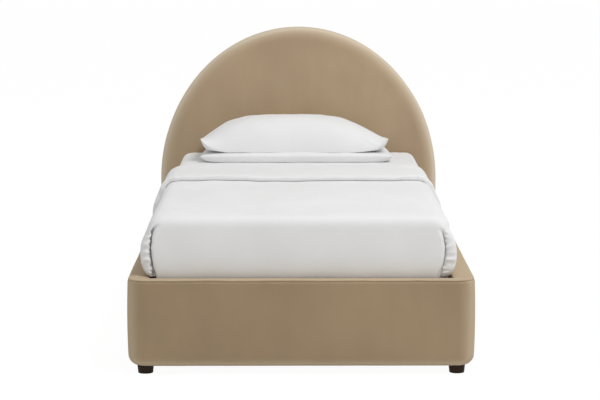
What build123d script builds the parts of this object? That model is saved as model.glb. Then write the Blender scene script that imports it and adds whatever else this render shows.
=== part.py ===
"""Storage platform bed: a padded frame with an arched headboard, a slatted platform that lifts on
arms and gas struts, and the mattress, cover and pillows on it.

Millimetres, +Z up, the foot end towards -Y, the headboard towards +Y. The origin is on the floor
under the middle of the bed. A piece that both sides share is drawn at +X and mirrored.
"""
from build123d import *
import os
from math import atan2, cos, degrees, dist, radians, sin

os.makedirs("parts", exist_ok=True)

# Mattress, and the gaps that it lies in
mattress_width = 991
mattress_length = 1905
mattress_thickness = 228
mattress_corner_radius = 60
mattress_edge_radius = 25
mattress_side_gap = 10.5
mattress_foot_gap = 13
mattress_head_gap = 10
mattress_sink = 27

# Padded rails: a board inside a sleeve of foam and cloth
foot_height = 25
rail_height = 291
core_thickness = 36
padding_outside = 32
padding_inside = 4
padding_top = 22
padding_bottom = 15
rail_corner_radius = 60
rail_bottom_radius = 36
rail_top_radius = 8
rail_inner_radius = 5

# Headboard: a padded arch, open at the back and closed with cloth
headboard_side_reach = 17
headboard_height = 1045
headboard_depth = 100
headboard_arch_rise = 657
headboard_padding = 28
headboard_rim = 14
headboard_front_radius = 40
headboard_back_radius = 10
headboard_ply = 18
batten_width = 42
back_cloth_thickness = 2

# Feet and their studs
foot_top_diameter = 55
foot_bottom_diameter = 50
foot_inset = 58
rear_foot_inset = 30
foot_stud_diameter = 8
foot_stud_length = 30
foot_stud_depth = 12

# Storage floor, the strips and the beam that carry it
ledger_width = 22
ledger_height = 28
ledger_rise = 5
floor_thickness = 12
floor_side_gap = 6
floor_joint = 2
floor_panels = 3
beam_width = 40
beam_foot_diameter = 40
beam_foot_share = 1 / 3
head_rail_thickness = 18
head_rail_top_drop = 17

# Lifting platform: a frame of tube with bent slats in end holders
lift_plate_gap = 1
platform_foot_gap = 15
platform_head_gap = 10
tube_width = 20
tube_height = 40
tube_wall = 1.5
cap_thickness = 2
slat_count = 13
slat_width = 64
slat_thickness = 8
slat_rise = 1.7
slat_end_gap = 8
slat_first = 75
holder_base = 2
holder_lap = 22
holder_lip = 4
holder_clearance = 0.2
rest_clearance = 0.3

# Planes of the lift, counted inwards from the face of the side rail
base_thickness = 3
strut_plane = 4.5
strut_plane_width = 15
rear_plane = 21
front_plane = 27
arm_thickness = 5
arm_gap = 0.3
lift_plate_thickness = 3

# Pivots of the lift: distances from the head end of the platform and from under its tubes
rear_base_from_head = 510
rear_base_drop = 40
rear_top_from_head = 236
rear_top_rise = 30
front_base_from_head = 780
front_base_drop = 137
front_top_from_head = 357
front_top_drop = 22
strut_base_from_head = 383
strut_base_drop = 120
strut_crank_radius = 82
strut_crank_angle = 35.3

# Pins, holes and bars of the lift
pivot_diameter = 12
pivot_shoulder = 20
open_pivot_diameter = 10
open_pivot_play = 4.6
strut_pin_diameter = 8
strut_pin_head = 13
strut_play = 4.9
running_fit = 0.05
base_margin = 22
rear_arm_radius = 16
front_arm_radius = 17
arm_slot_width = 9
arm_slot_share = 0.42
plate_tail = 130
plate_tail_radius = 13
plate_bolt_diameter = 8
plate_bolt_head = 13
plate_bolt_head_height = 4.5

# Gas struts, closed
cylinder_diameter = 15
cylinder_wall = 1.5
cylinder_length = 100
cylinder_guide = 6
strut_eye_diameter = 18
strut_eye_width = 12
rod_diameter = 8
rod_eye_diameter = 27
rod_eye_width = 10
rod_inside = 80
piston_length = 8
piston_clearance = 0.1

# Brackets and screws
bracket_thickness = 3
bracket_leg = 60
bracket_height = 150
bracket_rise = 10
screw_diameter = 7
screw_head = 14
screw_depth = 20
screw_shares = (0.2, 0.8)
head_bolt_diameter = 8
head_bolt_head = 13
head_bolt_head_height = 5
head_bolt_shares = (0.3, 0.8)
pan_head = 13
pan_head_height = 3.5
base_screw_shares = (0.13, 0.43, 0.70, 0.88)
rest_from_foot = (150, 850)
rest_length = 50
rest_leg = 59
rest_pad = 2.7

# Lift strap
strap_width = 40
strap_thickness = 2.2
strap_seam = 26
strap_reach = 20.8

# Bedding
sheet_thickness = 1.2
duvet_top = 6.5
duvet_side = 30
duvet_foot = 6.5
duvet_flap = 4
duvet_flap_drop = 19.3
duvet_hem_gap = 3.3
duvet_corner_radius = 38
duvet_edge_radius = 36
duvet_head_from_headboard = 655
band_length = 373
band_top = 12
band_side = 6
band_hem_rise = 12
soft_clearance = 0.3
lower_pillow_size = (788, 395, 44)
lower_pillow_seam = 26
lower_pillow_shift = -10
lower_pillow_head_gap = 14
upper_pillow_size = (790, 385, 134)
upper_pillow_seam = 42
upper_pillow_shift = -17
upper_pillow_head_gap = 22
pillow_corner_radius = 55
pillow_crown_share = 1.15
pillow_shoulder_shares = (0.6, 0.24)
pillow_underside_share = 0.9

# Places that follow from the sizes above
rail_thickness = padding_outside + core_thickness + padding_inside
rail_inner_x = mattress_width / 2 + mattress_side_gap
rail_outer_x = rail_inner_x + rail_thickness
headboard_side_x = rail_outer_x + headboard_side_reach
rail_top = foot_height + rail_height
overall_length = headboard_depth + mattress_head_gap + mattress_length + mattress_foot_gap + rail_thickness
foot_face_y = -overall_length / 2
foot_inner_y = foot_face_y + rail_thickness
mattress_foot_y = foot_inner_y + mattress_foot_gap
mattress_head_y = mattress_foot_y + mattress_length
headboard_front_y = mattress_head_y + mattress_head_gap
headboard_back_y = headboard_front_y + headboard_depth
core_inner_x = rail_inner_x + padding_inside
core_outer_x = core_inner_x + core_thickness
core_bottom = foot_height + padding_bottom
core_top = rail_top - padding_top
foot_core_back_y = foot_inner_y - padding_inside
foot_core_front_y = foot_core_back_y - core_thickness

mattress_bottom = rail_top - rail_inner_radius - mattress_sink
mattress_top = mattress_bottom + mattress_thickness
mattress_middle_y = (mattress_foot_y + mattress_head_y) / 2
slat_bottom = mattress_bottom - rest_clearance - slat_rise - slat_thickness
tube_top = slat_bottom - holder_base
tube_bottom = tube_top - tube_height
platform_foot_y = mattress_foot_y + platform_foot_gap
platform_head_y = mattress_head_y - platform_head_gap

floor_bottom = foot_height + ledger_rise + ledger_height
floor_top = floor_bottom + floor_thickness
head_rail_front_y = headboard_front_y - head_rail_thickness
head_rail_top = tube_bottom - head_rail_top_drop

rear_base = (platform_head_y - rear_base_from_head, tube_bottom - rear_base_drop)
rear_top = (platform_head_y - rear_top_from_head, tube_bottom + rear_top_rise)
front_base = (platform_head_y - front_base_from_head, tube_bottom - front_base_drop)
front_top = (platform_head_y - front_top_from_head, tube_bottom - front_top_drop)
strut_base = (platform_head_y - strut_base_from_head, tube_bottom - strut_base_drop)
rear_arm_angle = atan2(rear_top[1] - rear_base[1], rear_top[0] - rear_base[0])
crank_angle = rear_arm_angle + radians(strut_crank_angle)
strut_top = (
    rear_base[0] + strut_crank_radius * cos(crank_angle),
    rear_base[1] + strut_crank_radius * sin(crank_angle),
)
strut_angle = atan2(strut_top[1] - strut_base[1], strut_top[0] - strut_base[0])
strut_length = dist(strut_base, strut_top)

base_x = rail_inner_x - base_thickness
strut_outer_x = rail_inner_x - strut_plane
strut_inner_x = strut_outer_x - strut_plane_width
strut_middle_x = (strut_outer_x + strut_inner_x) / 2
rear_outer_x = rail_inner_x - rear_plane
rear_inner_x = rear_outer_x - arm_thickness
front_outer_x = rail_inner_x - front_plane
front_inner_x = front_outer_x - arm_thickness
lift_plate_x = front_inner_x - lift_plate_gap
platform_side_x = lift_plate_x - lift_plate_thickness


def across(y):
    """Upright plane across the bed at y: its own axes are X and Z, and it faces the foot end."""
    return Plane(origin=(0, y, 0), x_dir=(1, 0, 0), z_dir=(0, -1, 0))


def along(x):
    """Upright plane along the bed at x: its own axes are Y and Z, and it faces +X."""
    return Plane(origin=(x, 0, 0), x_dir=(0, 1, 0), z_dir=(1, 0, 0))


def save(piece, name):
    """Label one finished piece and write it under its own name."""
    piece.label = name
    export_step(piece, f"parts/{name}.step")


def save_pair(piece, name):
    """Write a piece that was drawn at +X as the right one, and its mirror image as the left one."""
    save(piece, f"right_{name}")
    save(mirror(piece, about=Plane.YZ), f"left_{name}")


# Screws and bolts, which the pieces that they hold are cut to fit
bracket_bottom = floor_top + bracket_rise
screw_heights = [bracket_bottom + share * bracket_height for share in screw_shares]
screw_reach = padding_inside + screw_depth

with BuildPart() as corner_screws:
    for bracket_y in (foot_inner_y, head_rail_front_y - bracket_leg):
        screw_y = bracket_y + bracket_leg / 2
        for height in screw_heights:
            with BuildSketch(along(rail_inner_x - bracket_thickness)):
                with Locations((screw_y, height)):
                    Circle(screw_head / 2)
            with BuildSketch(along(rail_inner_x)):
                with Locations((screw_y, height)):
                    Circle(screw_diameter / 2)
            loft()
            with BuildSketch(along(rail_inner_x)):
                with Locations((screw_y, height)):
                    Circle(screw_diameter / 2)
            extrude(amount=screw_reach)
    for height in screw_heights:
        screw_x = rail_inner_x - bracket_leg / 2
        for face_y, reach in ((foot_inner_y, -screw_reach), (head_rail_front_y, head_rail_thickness)):
            towards = 1 if reach < 0 else -1
            with BuildSketch(across(face_y + towards * bracket_thickness)):
                with Locations((screw_x, height)):
                    Circle(screw_head / 2)
            with BuildSketch(across(face_y)):
                with Locations((screw_x, height)):
                    Circle(screw_diameter / 2)
            loft()
            with BuildSketch(across(face_y)):
                with Locations((screw_x, height)):
                    Circle(screw_diameter / 2)
            extrude(amount=-reach)
    mirror(about=Plane.YZ)
save(corner_screws.part, "corner_screws")

base_screw_places = [
    (
        front_base[0] + share * (strut_base[0] - front_base[0]),
        front_base[1] + share * (strut_base[1] - front_base[1]),
    )
    for share in base_screw_shares
]
rest_places = [platform_foot_y + place for place in rest_from_foot]
rest_bottom = tube_bottom - rest_clearance - rest_pad - rest_leg
rest_screw_places = [
    (y + side * rest_length / 4, rest_bottom + rest_leg / 3) for y in rest_places for side in (-1, 1)
]
with BuildPart() as rail_screws:
    for place in base_screw_places + rest_screw_places:
        with BuildSketch(along(base_x)):
            with Locations(place):
                Circle(pan_head / 2)
        extrude(amount=-pan_head_height)
        with BuildSketch(along(base_x)):
            with Locations(place):
                Circle(screw_diameter / 2)
        extrude(amount=base_thickness + screw_reach)
    mirror(about=Plane.YZ)
save(rail_screws.part, "rail_screws")

head_bolt_places = [
    (side * share * rail_inner_x, (floor_top + head_rail_top) / 2)
    for share in head_bolt_shares
    for side in (-1, 1)
]
head_bolt_reach = head_rail_thickness + headboard_padding + headboard_ply
with BuildPart() as headboard_bolts:
    with BuildSketch(across(head_rail_front_y)):
        with Locations(*head_bolt_places):
            RegularPolygon(head_bolt_head / 2, 6)
    extrude(amount=head_bolt_head_height)
    with BuildSketch(across(head_rail_front_y)):
        with Locations(*head_bolt_places):
            Circle(head_bolt_diameter / 2)
    extrude(amount=-(head_bolt_reach + head_bolt_head_height))
    with BuildSketch(across(head_rail_front_y + head_bolt_reach)):
        with Locations(*head_bolt_places):
            RegularPolygon(head_bolt_head / 2, 6)
    extrude(amount=-head_bolt_head_height)
save(headboard_bolts.part, "headboard_bolts")

# Feet: turned cones, with a stud up into the rail or the headboard's batten
front_foot_y = (foot_core_front_y + foot_core_back_y) / 2
ply_front_y = headboard_front_y + headboard_padding
ply_back_y = ply_front_y + headboard_ply
rear_foot_y = headboard_back_y - rear_foot_inset
foot_places = {
    "front_left_foot": (-rail_outer_x + foot_inset, front_foot_y),
    "front_right_foot": (rail_outer_x - foot_inset, front_foot_y),
    "rear_left_foot": (-rail_outer_x + foot_inset, rear_foot_y),
    "rear_right_foot": (rail_outer_x - foot_inset, rear_foot_y),
}
with BuildPart() as foot_studs:
    with BuildSketch(Plane.XY.offset(foot_stud_depth)):
        with Locations(*foot_places.values()):
            Circle(foot_stud_diameter / 2)
    extrude(amount=foot_height - foot_stud_depth + foot_stud_length)
save(foot_studs.part, "foot_studs")

for foot_name, foot_place in foot_places.items():
    with BuildPart() as foot:
        with BuildSketch(Plane.XY):
            with Locations(foot_place):
                Circle(foot_bottom_diameter / 2)
        with BuildSketch(Plane.XY.offset(foot_height)):
            with Locations(foot_place):
                Circle(foot_top_diameter / 2)
        loft()
        add(foot_studs.part, mode=Mode.SUBTRACT)
    save(foot.part, foot_name)

# Side rails
rail_start_y = foot_inner_y
rail_length = headboard_front_y - rail_start_y
rail_middle_x = (rail_inner_x + rail_outer_x) / 2
core_middle_x = (core_inner_x + core_outer_x) / 2
with BuildPart() as side_rail_cover:
    with BuildSketch(across(rail_start_y)):
        with Locations((rail_middle_x, (foot_height + rail_top) / 2)):
            Rectangle(rail_thickness, rail_height)
    extrude(amount=-rail_length)
    long_edges = side_rail_cover.edges().filter_by(Axis.Y)
    outer_edges = long_edges.group_by(Axis.X)[-1]
    fillet(outer_edges.sort_by(Axis.Z)[0], radius=rail_bottom_radius)
    long_edges = side_rail_cover.edges().filter_by(Axis.Y)
    fillet(long_edges.group_by(Axis.Z)[-1], radius=rail_top_radius)
    long_edges = side_rail_cover.edges().filter_by(Axis.Y)
    fillet(long_edges.group_by(Axis.X)[0].sort_by(Axis.Z)[0], radius=rail_inner_radius)
    with BuildSketch(across(rail_start_y)):
        with Locations((core_middle_x, (core_bottom + core_top) / 2)):
            Rectangle(core_thickness, core_top - core_bottom)
    extrude(amount=-rail_length, mode=Mode.SUBTRACT)
    add(corner_screws.part, mode=Mode.SUBTRACT)
    add(rail_screws.part, mode=Mode.SUBTRACT)
save_pair(side_rail_cover.part, "rail_cover")

with BuildPart() as side_rail_core:
    with BuildSketch(across(rail_start_y)):
        with Locations((core_middle_x, (core_bottom + core_top) / 2)):
            Rectangle(core_thickness, core_top - core_bottom)
    extrude(amount=-rail_length)
    add(corner_screws.part, mode=Mode.SUBTRACT)
    add(rail_screws.part, mode=Mode.SUBTRACT)
save_pair(side_rail_core.part, "rail_core")

# Foot rail, which turns round both corners of the bed
foot_core_length = 2 * (rail_outer_x - padding_outside)
with BuildPart() as foot_rail_cover:
    with BuildSketch(Plane.XY.offset(foot_height)):
        with Locations((0, (foot_face_y + foot_inner_y) / 2)):
            Rectangle(2 * rail_outer_x, rail_thickness)
    extrude(amount=rail_height)
    upright = foot_rail_cover.edges().filter_by(Axis.Z)
    fillet(upright.group_by(Axis.Y)[0], radius=rail_corner_radius)
    bottom_edges = foot_rail_cover.edges().group_by(Axis.Z)[0]
    back_edge = bottom_edges.sort_by(Axis.Y)[-1]
    fillet(bottom_edges - [back_edge], radius=rail_bottom_radius)
    fillet(foot_rail_cover.edges().group_by(Axis.Z)[-1], radius=rail_top_radius)
    with BuildSketch(Plane.XY.offset(core_bottom)):
        with Locations((0, front_foot_y)):
            Rectangle(foot_core_length, core_thickness)
    extrude(amount=core_top - core_bottom, mode=Mode.SUBTRACT)
    add(corner_screws.part, mode=Mode.SUBTRACT)
    add(foot_studs.part, mode=Mode.SUBTRACT)
save(foot_rail_cover.part, "foot_rail_cover")

with BuildPart() as foot_rail_core:
    with BuildSketch(Plane.XY.offset(core_bottom)):
        with Locations((0, front_foot_y)):
            Rectangle(foot_core_length, core_thickness)
    extrude(amount=core_top - core_bottom)
    add(corner_screws.part, mode=Mode.SUBTRACT)
    add(foot_studs.part, mode=Mode.SUBTRACT)
save(foot_rail_core.part, "foot_rail_core")


def arch_outline(inset, bottom):
    """Arched outline of the headboard, drawn in by an even inset, down to a bottom line."""
    half_width = headboard_side_x - inset
    spring = headboard_height - headboard_arch_rise
    with BuildSketch() as outline:
        with BuildLine():
            EllipticalCenterArc(
                (0, spring), half_width, headboard_arch_rise - inset, start_angle=0, arc_size=180
            )
            Polyline(
                (-half_width, spring), (-half_width, bottom), (half_width, bottom), (half_width, spring)
            )
        make_face()
    return outline.sketch


# Headboard
with BuildPart() as headboard_cover:
    with BuildSketch(across(headboard_front_y)):
        add(arch_outline(0, foot_height))
    extrude(amount=-headboard_depth)
    front_edges = headboard_cover.edges().group_by(Axis.Y)[0]
    fillet(front_edges - [front_edges.sort_by(Axis.Z)[0]], radius=headboard_front_radius)
    back_edges = headboard_cover.edges().group_by(Axis.Y)[-1]
    fillet(back_edges - [back_edges.sort_by(Axis.Z)[0]], radius=headboard_back_radius)
    with BuildSketch(across(ply_front_y)):
        add(arch_outline(headboard_rim, foot_height + headboard_rim))
    extrude(amount=-headboard_depth, mode=Mode.SUBTRACT)
    add(headboard_bolts.part, mode=Mode.SUBTRACT)
    add(foot_studs.part, mode=Mode.SUBTRACT)
save(headboard_cover.part, "headboard_cover")

with BuildPart() as headboard_panel:
    with BuildSketch(across(ply_front_y)):
        add(arch_outline(headboard_rim, foot_height + headboard_rim))
    extrude(amount=-headboard_ply)
    add(headboard_bolts.part, mode=Mode.SUBTRACT)
save(headboard_panel.part, "headboard_panel")

batten_depth = headboard_back_y - back_cloth_thickness - ply_back_y
with BuildPart() as headboard_battens:
    with BuildSketch(across(ply_back_y)):
        add(arch_outline(headboard_rim, foot_height + headboard_rim))
    extrude(amount=-batten_depth)
    with BuildSketch(across(ply_back_y)):
        add(arch_outline(headboard_rim + batten_width, foot_height + headboard_rim + batten_width))
        with Locations((0, headboard_height - headboard_arch_rise)):
            Rectangle(2 * headboard_side_x, batten_width, mode=Mode.SUBTRACT)
    extrude(amount=-batten_depth, mode=Mode.SUBTRACT)
    add(foot_studs.part, mode=Mode.SUBTRACT)
save(headboard_battens.part, "headboard_battens")

with BuildPart() as headboard_back_cloth:
    with BuildSketch(across(ply_back_y + batten_depth)):
        add(arch_outline(headboard_rim, foot_height + headboard_rim))
    extrude(amount=-back_cloth_thickness)
save(headboard_back_cloth.part, "headboard_back_cloth")

# Head rail behind the platform
with BuildPart() as head_rail:
    with BuildSketch(across(head_rail_front_y)):
        with Locations((0, (foot_height + ledger_rise + head_rail_top) / 2)):
            Rectangle(2 * rail_inner_x, head_rail_top - foot_height - ledger_rise)
    extrude(amount=-head_rail_thickness)
    add(corner_screws.part, mode=Mode.SUBTRACT)
    add(headboard_bolts.part, mode=Mode.SUBTRACT)
save(head_rail.part, "head_rail")

# Angle brackets in the four corners
with BuildPart() as corner_brackets:
    for corner_y, turn in ((foot_inner_y, 1), (head_rail_front_y, -1)):
        with BuildSketch(Plane.XY.offset(bracket_bottom)):
            with BuildLine():
                Polyline(
                    (rail_inner_x, corner_y),
                    (rail_inner_x, corner_y + turn * bracket_leg),
                    (rail_inner_x - bracket_thickness, corner_y + turn * bracket_leg),
                    (rail_inner_x - bracket_thickness, corner_y + turn * bracket_thickness),
                    (rail_inner_x - bracket_leg, corner_y + turn * bracket_thickness),
                    (rail_inner_x - bracket_leg, corner_y),
                    close=True,
                )
            make_face()
        extrude(amount=bracket_height)
    mirror(about=Plane.YZ)
    add(corner_screws.part, mode=Mode.SUBTRACT)
save(corner_brackets.part, "corner_brackets")

# Storage floor on ledgers and a centre beam
floor_length = head_rail_front_y - foot_inner_y
with BuildPart() as ledger:
    with BuildSketch(across(foot_inner_y)):
        with Locations((rail_inner_x - ledger_width / 2, floor_bottom - ledger_height / 2)):
            Rectangle(ledger_width, ledger_height)
    extrude(amount=-floor_length)
save_pair(ledger.part, "ledger")

with BuildPart() as centre_beam:
    with BuildSketch(across(foot_inner_y)):
        with Locations((0, (foot_height + floor_bottom) / 2)):
            Rectangle(beam_width, floor_bottom - foot_height)
    extrude(amount=-floor_length)
save(centre_beam.part, "centre_beam")

beam_middle_y = (foot_inner_y + head_rail_front_y) / 2
with BuildPart() as beam_feet:
    with BuildSketch(Plane.XY):
        for end in (-1, 1):
            with Locations((0, beam_middle_y + end * beam_foot_share * floor_length / 2)):
                Circle(beam_foot_diameter / 2)
    extrude(amount=foot_height)
save(beam_feet.part, "beam_feet")

panel_length = (floor_length - (floor_panels + 1) * floor_joint) / floor_panels
for number in range(floor_panels):
    panel_y = foot_inner_y + floor_joint + (number + 1 / 2) * panel_length + number * floor_joint
    with BuildPart() as floor_panel:
        with BuildSketch(Plane.XY.offset(floor_bottom)):
            with Locations((0, panel_y)):
                Rectangle(2 * (rail_inner_x - floor_side_gap), panel_length)
        extrude(amount=floor_thickness)
    save(floor_panel.part, f"floor_panel_{number + 1}")

# Rests that the closed platform lies on
rest_reach = rail_inner_x - platform_side_x + tube_width
with BuildPart() as rest_brackets:
    for rest_y in rest_places:
        with BuildSketch(across(rest_y - rest_length / 2)):
            with BuildLine():
                Polyline(
                    (rail_inner_x, rest_bottom),
                    (rail_inner_x, rest_bottom + rest_leg),
                    (rail_inner_x - rest_reach, rest_bottom + rest_leg),
                    (rail_inner_x - rest_reach, rest_bottom + rest_leg - bracket_thickness),
                    (rail_inner_x - bracket_thickness, rest_bottom + rest_leg - bracket_thickness),
                    (rail_inner_x - bracket_thickness, rest_bottom),
                    close=True,
                )
            make_face()
        extrude(amount=-rest_length)
        with BuildSketch(across(rest_y - bracket_thickness / 2)):
            with BuildLine():
                Polyline(
                    (rail_inner_x - bracket_thickness, rest_bottom + rest_leg / 2),
                    (rail_inner_x - bracket_thickness, rest_bottom + rest_leg - bracket_thickness),
                    (rail_inner_x - rest_reach, rest_bottom + rest_leg - bracket_thickness),
                    close=True,
                )
            make_face()
        extrude(amount=-bracket_thickness)
    mirror(about=Plane.YZ)
    add(rail_screws.part, mode=Mode.SUBTRACT)
save(rest_brackets.part, "rest_brackets")

with BuildPart() as rest_pads:
    for rest_y in rest_places:
        with BuildSketch(Plane.XY.offset(rest_bottom + rest_leg)):
            with Locations((platform_side_x - tube_width / 2, rest_y)):
                Rectangle(tube_width, rest_length)
        extrude(amount=rest_pad)
    mirror(about=Plane.YZ)
save(rest_pads.part, "rest_pads")


def pin(place, start_x, end_x, diameter):
    """Round bar along X between two places, with its middle at a place on the side view."""
    with BuildPart(mode=Mode.PRIVATE) as bar:
        with BuildSketch(along(start_x)):
            with Locations(place):
                Circle(diameter / 2)
        extrude(amount=end_x - start_x)
    return bar.part


# Pins that the base plates carry
with BuildPart() as base_pivots:
    add(pin(rear_base, rail_inner_x, rear_inner_x, pivot_diameter))
    add(pin(rear_base, base_x, rear_outer_x + arm_gap, pivot_shoulder))
    add(pin(front_base, rail_inner_x, front_inner_x, pivot_diameter))
    add(pin(front_base, base_x, front_outer_x + arm_gap, pivot_shoulder))
    add(pin(strut_base, rail_inner_x, strut_inner_x + 2 * arm_gap, strut_pin_diameter))
    add(pin(strut_base, base_x, strut_middle_x + strut_eye_width / 2 + arm_gap, strut_pin_head))
    mirror(about=Plane.YZ)
save(base_pivots.part, "base_pivots")

with BuildPart() as lift_base:
    with BuildSketch(along(base_x)):
        with Locations(rear_base, front_base, strut_base):
            Circle(base_margin)
        make_hull()
    extrude(amount=base_thickness)
    add(base_pivots.part, mode=Mode.SUBTRACT)
    add(rail_screws.part, mode=Mode.SUBTRACT)
save_pair(lift_base.part, "lift_base")

# Arms, with the gas strut's crank on the rear one
with BuildPart() as strut_pivots:
    add(pin(strut_top, rear_inner_x, strut_outer_x, strut_pin_diameter))
    add(pin(strut_top, rear_outer_x, strut_middle_x - rod_eye_width / 2 - arm_gap, strut_pin_head))
    mirror(about=Plane.YZ)
save(strut_pivots.part, "strut_pivots")

rear_arm_middle = ((rear_base[0] + rear_top[0]) / 2, (rear_base[1] + rear_top[1]) / 2)
with BuildPart() as rear_arm:
    with BuildSketch(along(rear_inner_x)):
        with Locations(rear_base, rear_top):
            Circle(rear_arm_radius)
        make_hull()
    extrude(amount=arm_thickness)
    with BuildSketch(along(rear_inner_x)):
        with Locations(rear_base, strut_top):
            Circle(rear_arm_radius)
        make_hull()
    extrude(amount=arm_thickness)
    with BuildSketch(along(rear_inner_x)):
        with Locations(rear_base, rear_top):
            Circle(pivot_diameter / 2 + running_fit)
        with Locations(rear_arm_middle):
            SlotCenterToCenter(
                arm_slot_share * dist(rear_base, rear_top), arm_slot_width, rotation=degrees(rear_arm_angle)
            )
    extrude(amount=arm_thickness, mode=Mode.SUBTRACT)
    add(strut_pivots.part, mode=Mode.SUBTRACT)
save_pair(rear_arm.part, "rear_arm")

front_arm_angle = atan2(front_top[1] - front_base[1], front_top[0] - front_base[0])
front_arm_middle = ((front_base[0] + front_top[0]) / 2, (front_base[1] + front_top[1]) / 2)
with BuildPart() as front_arm:
    with BuildSketch(along(front_inner_x)):
        with Locations(front_base, front_top):
            Circle(front_arm_radius)
        make_hull()
    extrude(amount=arm_thickness)
    with BuildSketch(along(front_inner_x)):
        with Locations(front_base):
            Circle(pivot_diameter / 2 + running_fit)
        with Locations(front_top):
            Circle(open_pivot_diameter / 2 + open_pivot_play)
        with Locations(front_arm_middle):
            SlotCenterToCenter(
                arm_slot_share * dist(front_base, front_top),
                arm_slot_width,
                rotation=degrees(front_arm_angle),
            )
    extrude(amount=arm_thickness, mode=Mode.SUBTRACT)
save_pair(front_arm.part, "front_arm")

# Plates on the platform, with their pins and bolts
platform_bolt_places = [
    (rear_top[0] - plate_tail / 2, (tube_bottom + tube_top) / 2),
    (rear_top[0] + plate_tail / 2, (tube_bottom + tube_top) / 2),
    (rear_top[0] + plate_tail, (tube_bottom + tube_top) / 2),
]
with BuildPart() as platform_bolts:
    for place in platform_bolt_places:
        add(pin(place, platform_side_x - tube_width, lift_plate_x, plate_bolt_diameter))
        with BuildSketch(along(lift_plate_x)):
            with Locations(place):
                RegularPolygon(plate_bolt_head / 2, 6)
        extrude(amount=plate_bolt_head_height)
    mirror(about=Plane.YZ)
save(platform_bolts.part, "platform_bolts")

with BuildPart() as platform_pivots:
    add(pin(rear_top, platform_side_x, rear_outer_x + arm_gap, pivot_diameter))
    add(pin(rear_top, lift_plate_x, rear_inner_x - arm_gap, pivot_shoulder))
    add(pin(rear_top, rear_outer_x + arm_gap, rear_outer_x + arm_gap + cap_thickness / 2, pivot_shoulder))
    add(pin(front_top, platform_side_x, front_outer_x, open_pivot_diameter))
    mirror(about=Plane.YZ)
save(platform_pivots.part, "platform_pivots")

with BuildPart() as lift_plate:
    with BuildSketch(along(platform_side_x)):
        with Locations(front_top, rear_top):
            Circle(rear_arm_radius)
        with Locations(platform_bolt_places[-1]):
            Circle(plate_tail_radius)
        make_hull()
    extrude(amount=lift_plate_thickness)
    add(platform_bolts.part, mode=Mode.SUBTRACT)
    add(platform_pivots.part, mode=Mode.SUBTRACT)
save_pair(lift_plate.part, "lift_plate")

# Gas struts, drawn along the line from the base pin to the crank pin
strut_line = Plane(
    origin=(strut_middle_x, *strut_base), x_dir=(1, 0, 0), z_dir=(0, cos(strut_angle), sin(strut_angle))
)
cylinder_bore = cylinder_diameter - 2 * cylinder_wall
with BuildPart() as gas_cylinder:
    with BuildSketch(strut_line):
        Circle(cylinder_diameter / 2)
    extrude(amount=cylinder_length)
    with BuildSketch(strut_line):
        Rectangle(strut_plane_width, cylinder_diameter + cylinder_wall)
    extrude(amount=strut_eye_diameter / 2, mode=Mode.SUBTRACT)
    with BuildSketch(strut_line):
        Rectangle(strut_eye_width / 2, strut_eye_width / 2)
    extrude(amount=strut_eye_diameter / 2 + cylinder_wall)
    strut_eye_x = strut_middle_x - strut_eye_width / 2
    add(pin(strut_base, strut_eye_x, strut_eye_x + strut_eye_width, strut_eye_diameter))
    with BuildSketch(strut_line.offset(strut_eye_diameter / 2 + cylinder_wall)):
        Circle(cylinder_bore / 2)
    extrude(
        amount=cylinder_length - cylinder_guide - strut_eye_diameter / 2 - cylinder_wall, mode=Mode.SUBTRACT
    )
    with BuildSketch(strut_line.offset(cylinder_length - cylinder_guide)):
        Circle(rod_diameter / 2 + running_fit)
    extrude(amount=cylinder_guide, mode=Mode.SUBTRACT)
    with BuildSketch(along(strut_inner_x)):
        with Locations(strut_base):
            Circle(strut_pin_diameter / 2 + running_fit)
    extrude(amount=strut_plane_width, mode=Mode.SUBTRACT)
save_pair(gas_cylinder.part, "gas_cylinder")

with BuildPart() as gas_rod:
    with BuildSketch(strut_line.offset(cylinder_length - rod_inside)):
        Circle(rod_diameter / 2)
    extrude(amount=strut_length - rod_eye_diameter / 2 - cylinder_length + rod_inside + rod_diameter / 4)
    with BuildSketch(strut_line.offset(cylinder_length - rod_inside)):
        Circle(cylinder_bore / 2 - piston_clearance)
    extrude(amount=piston_length)
    rod_eye_x = strut_middle_x - rod_eye_width / 2
    add(pin(strut_top, rod_eye_x, rod_eye_x + rod_eye_width, rod_eye_diameter))
    with BuildSketch(along(strut_inner_x)):
        with Locations(strut_top):
            Circle(strut_pin_diameter / 2 + strut_play)
    extrude(amount=strut_plane_width, mode=Mode.SUBTRACT)
save_pair(gas_rod.part, "gas_rod")

# Tubes of the lifting platform
tube_middle_z = (tube_bottom + tube_top) / 2
side_tube_x = platform_side_x - tube_width / 2
platform_length = platform_head_y - platform_foot_y
with BuildPart() as side_tube:
    with BuildSketch(across(platform_foot_y)):
        with Locations((side_tube_x, tube_middle_z)):
            Rectangle(tube_width, tube_height)
            Rectangle(tube_width - 2 * tube_wall, tube_height - 2 * tube_wall, mode=Mode.SUBTRACT)
    extrude(amount=-platform_length)
    add(platform_bolts.part, mode=Mode.SUBTRACT)
save_pair(side_tube.part, "side_tube")

for tube_name, tube_y in (
    ("foot_tube", platform_foot_y + tube_width / 2),
    ("head_tube", platform_head_y - tube_width / 2),
):
    with BuildPart() as cross_tube:
        with BuildSketch(along(-platform_side_x + tube_width)):
            with Locations((tube_y, tube_middle_z)):
                Rectangle(tube_width, tube_height)
                Rectangle(tube_width - 2 * tube_wall, tube_height - 2 * tube_wall, mode=Mode.SUBTRACT)
        extrude(amount=2 * (platform_side_x - tube_width))
    save(cross_tube.part, tube_name)

with BuildPart() as centre_tube:
    with BuildSketch(across(platform_foot_y + tube_width)):
        with Locations((0, tube_middle_z)):
            Rectangle(tube_width, tube_height)
            Rectangle(tube_width - 2 * tube_wall, tube_height - 2 * tube_wall, mode=Mode.SUBTRACT)
    extrude(amount=-(platform_length - 2 * tube_width))
save(centre_tube.part, "centre_tube")

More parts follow.
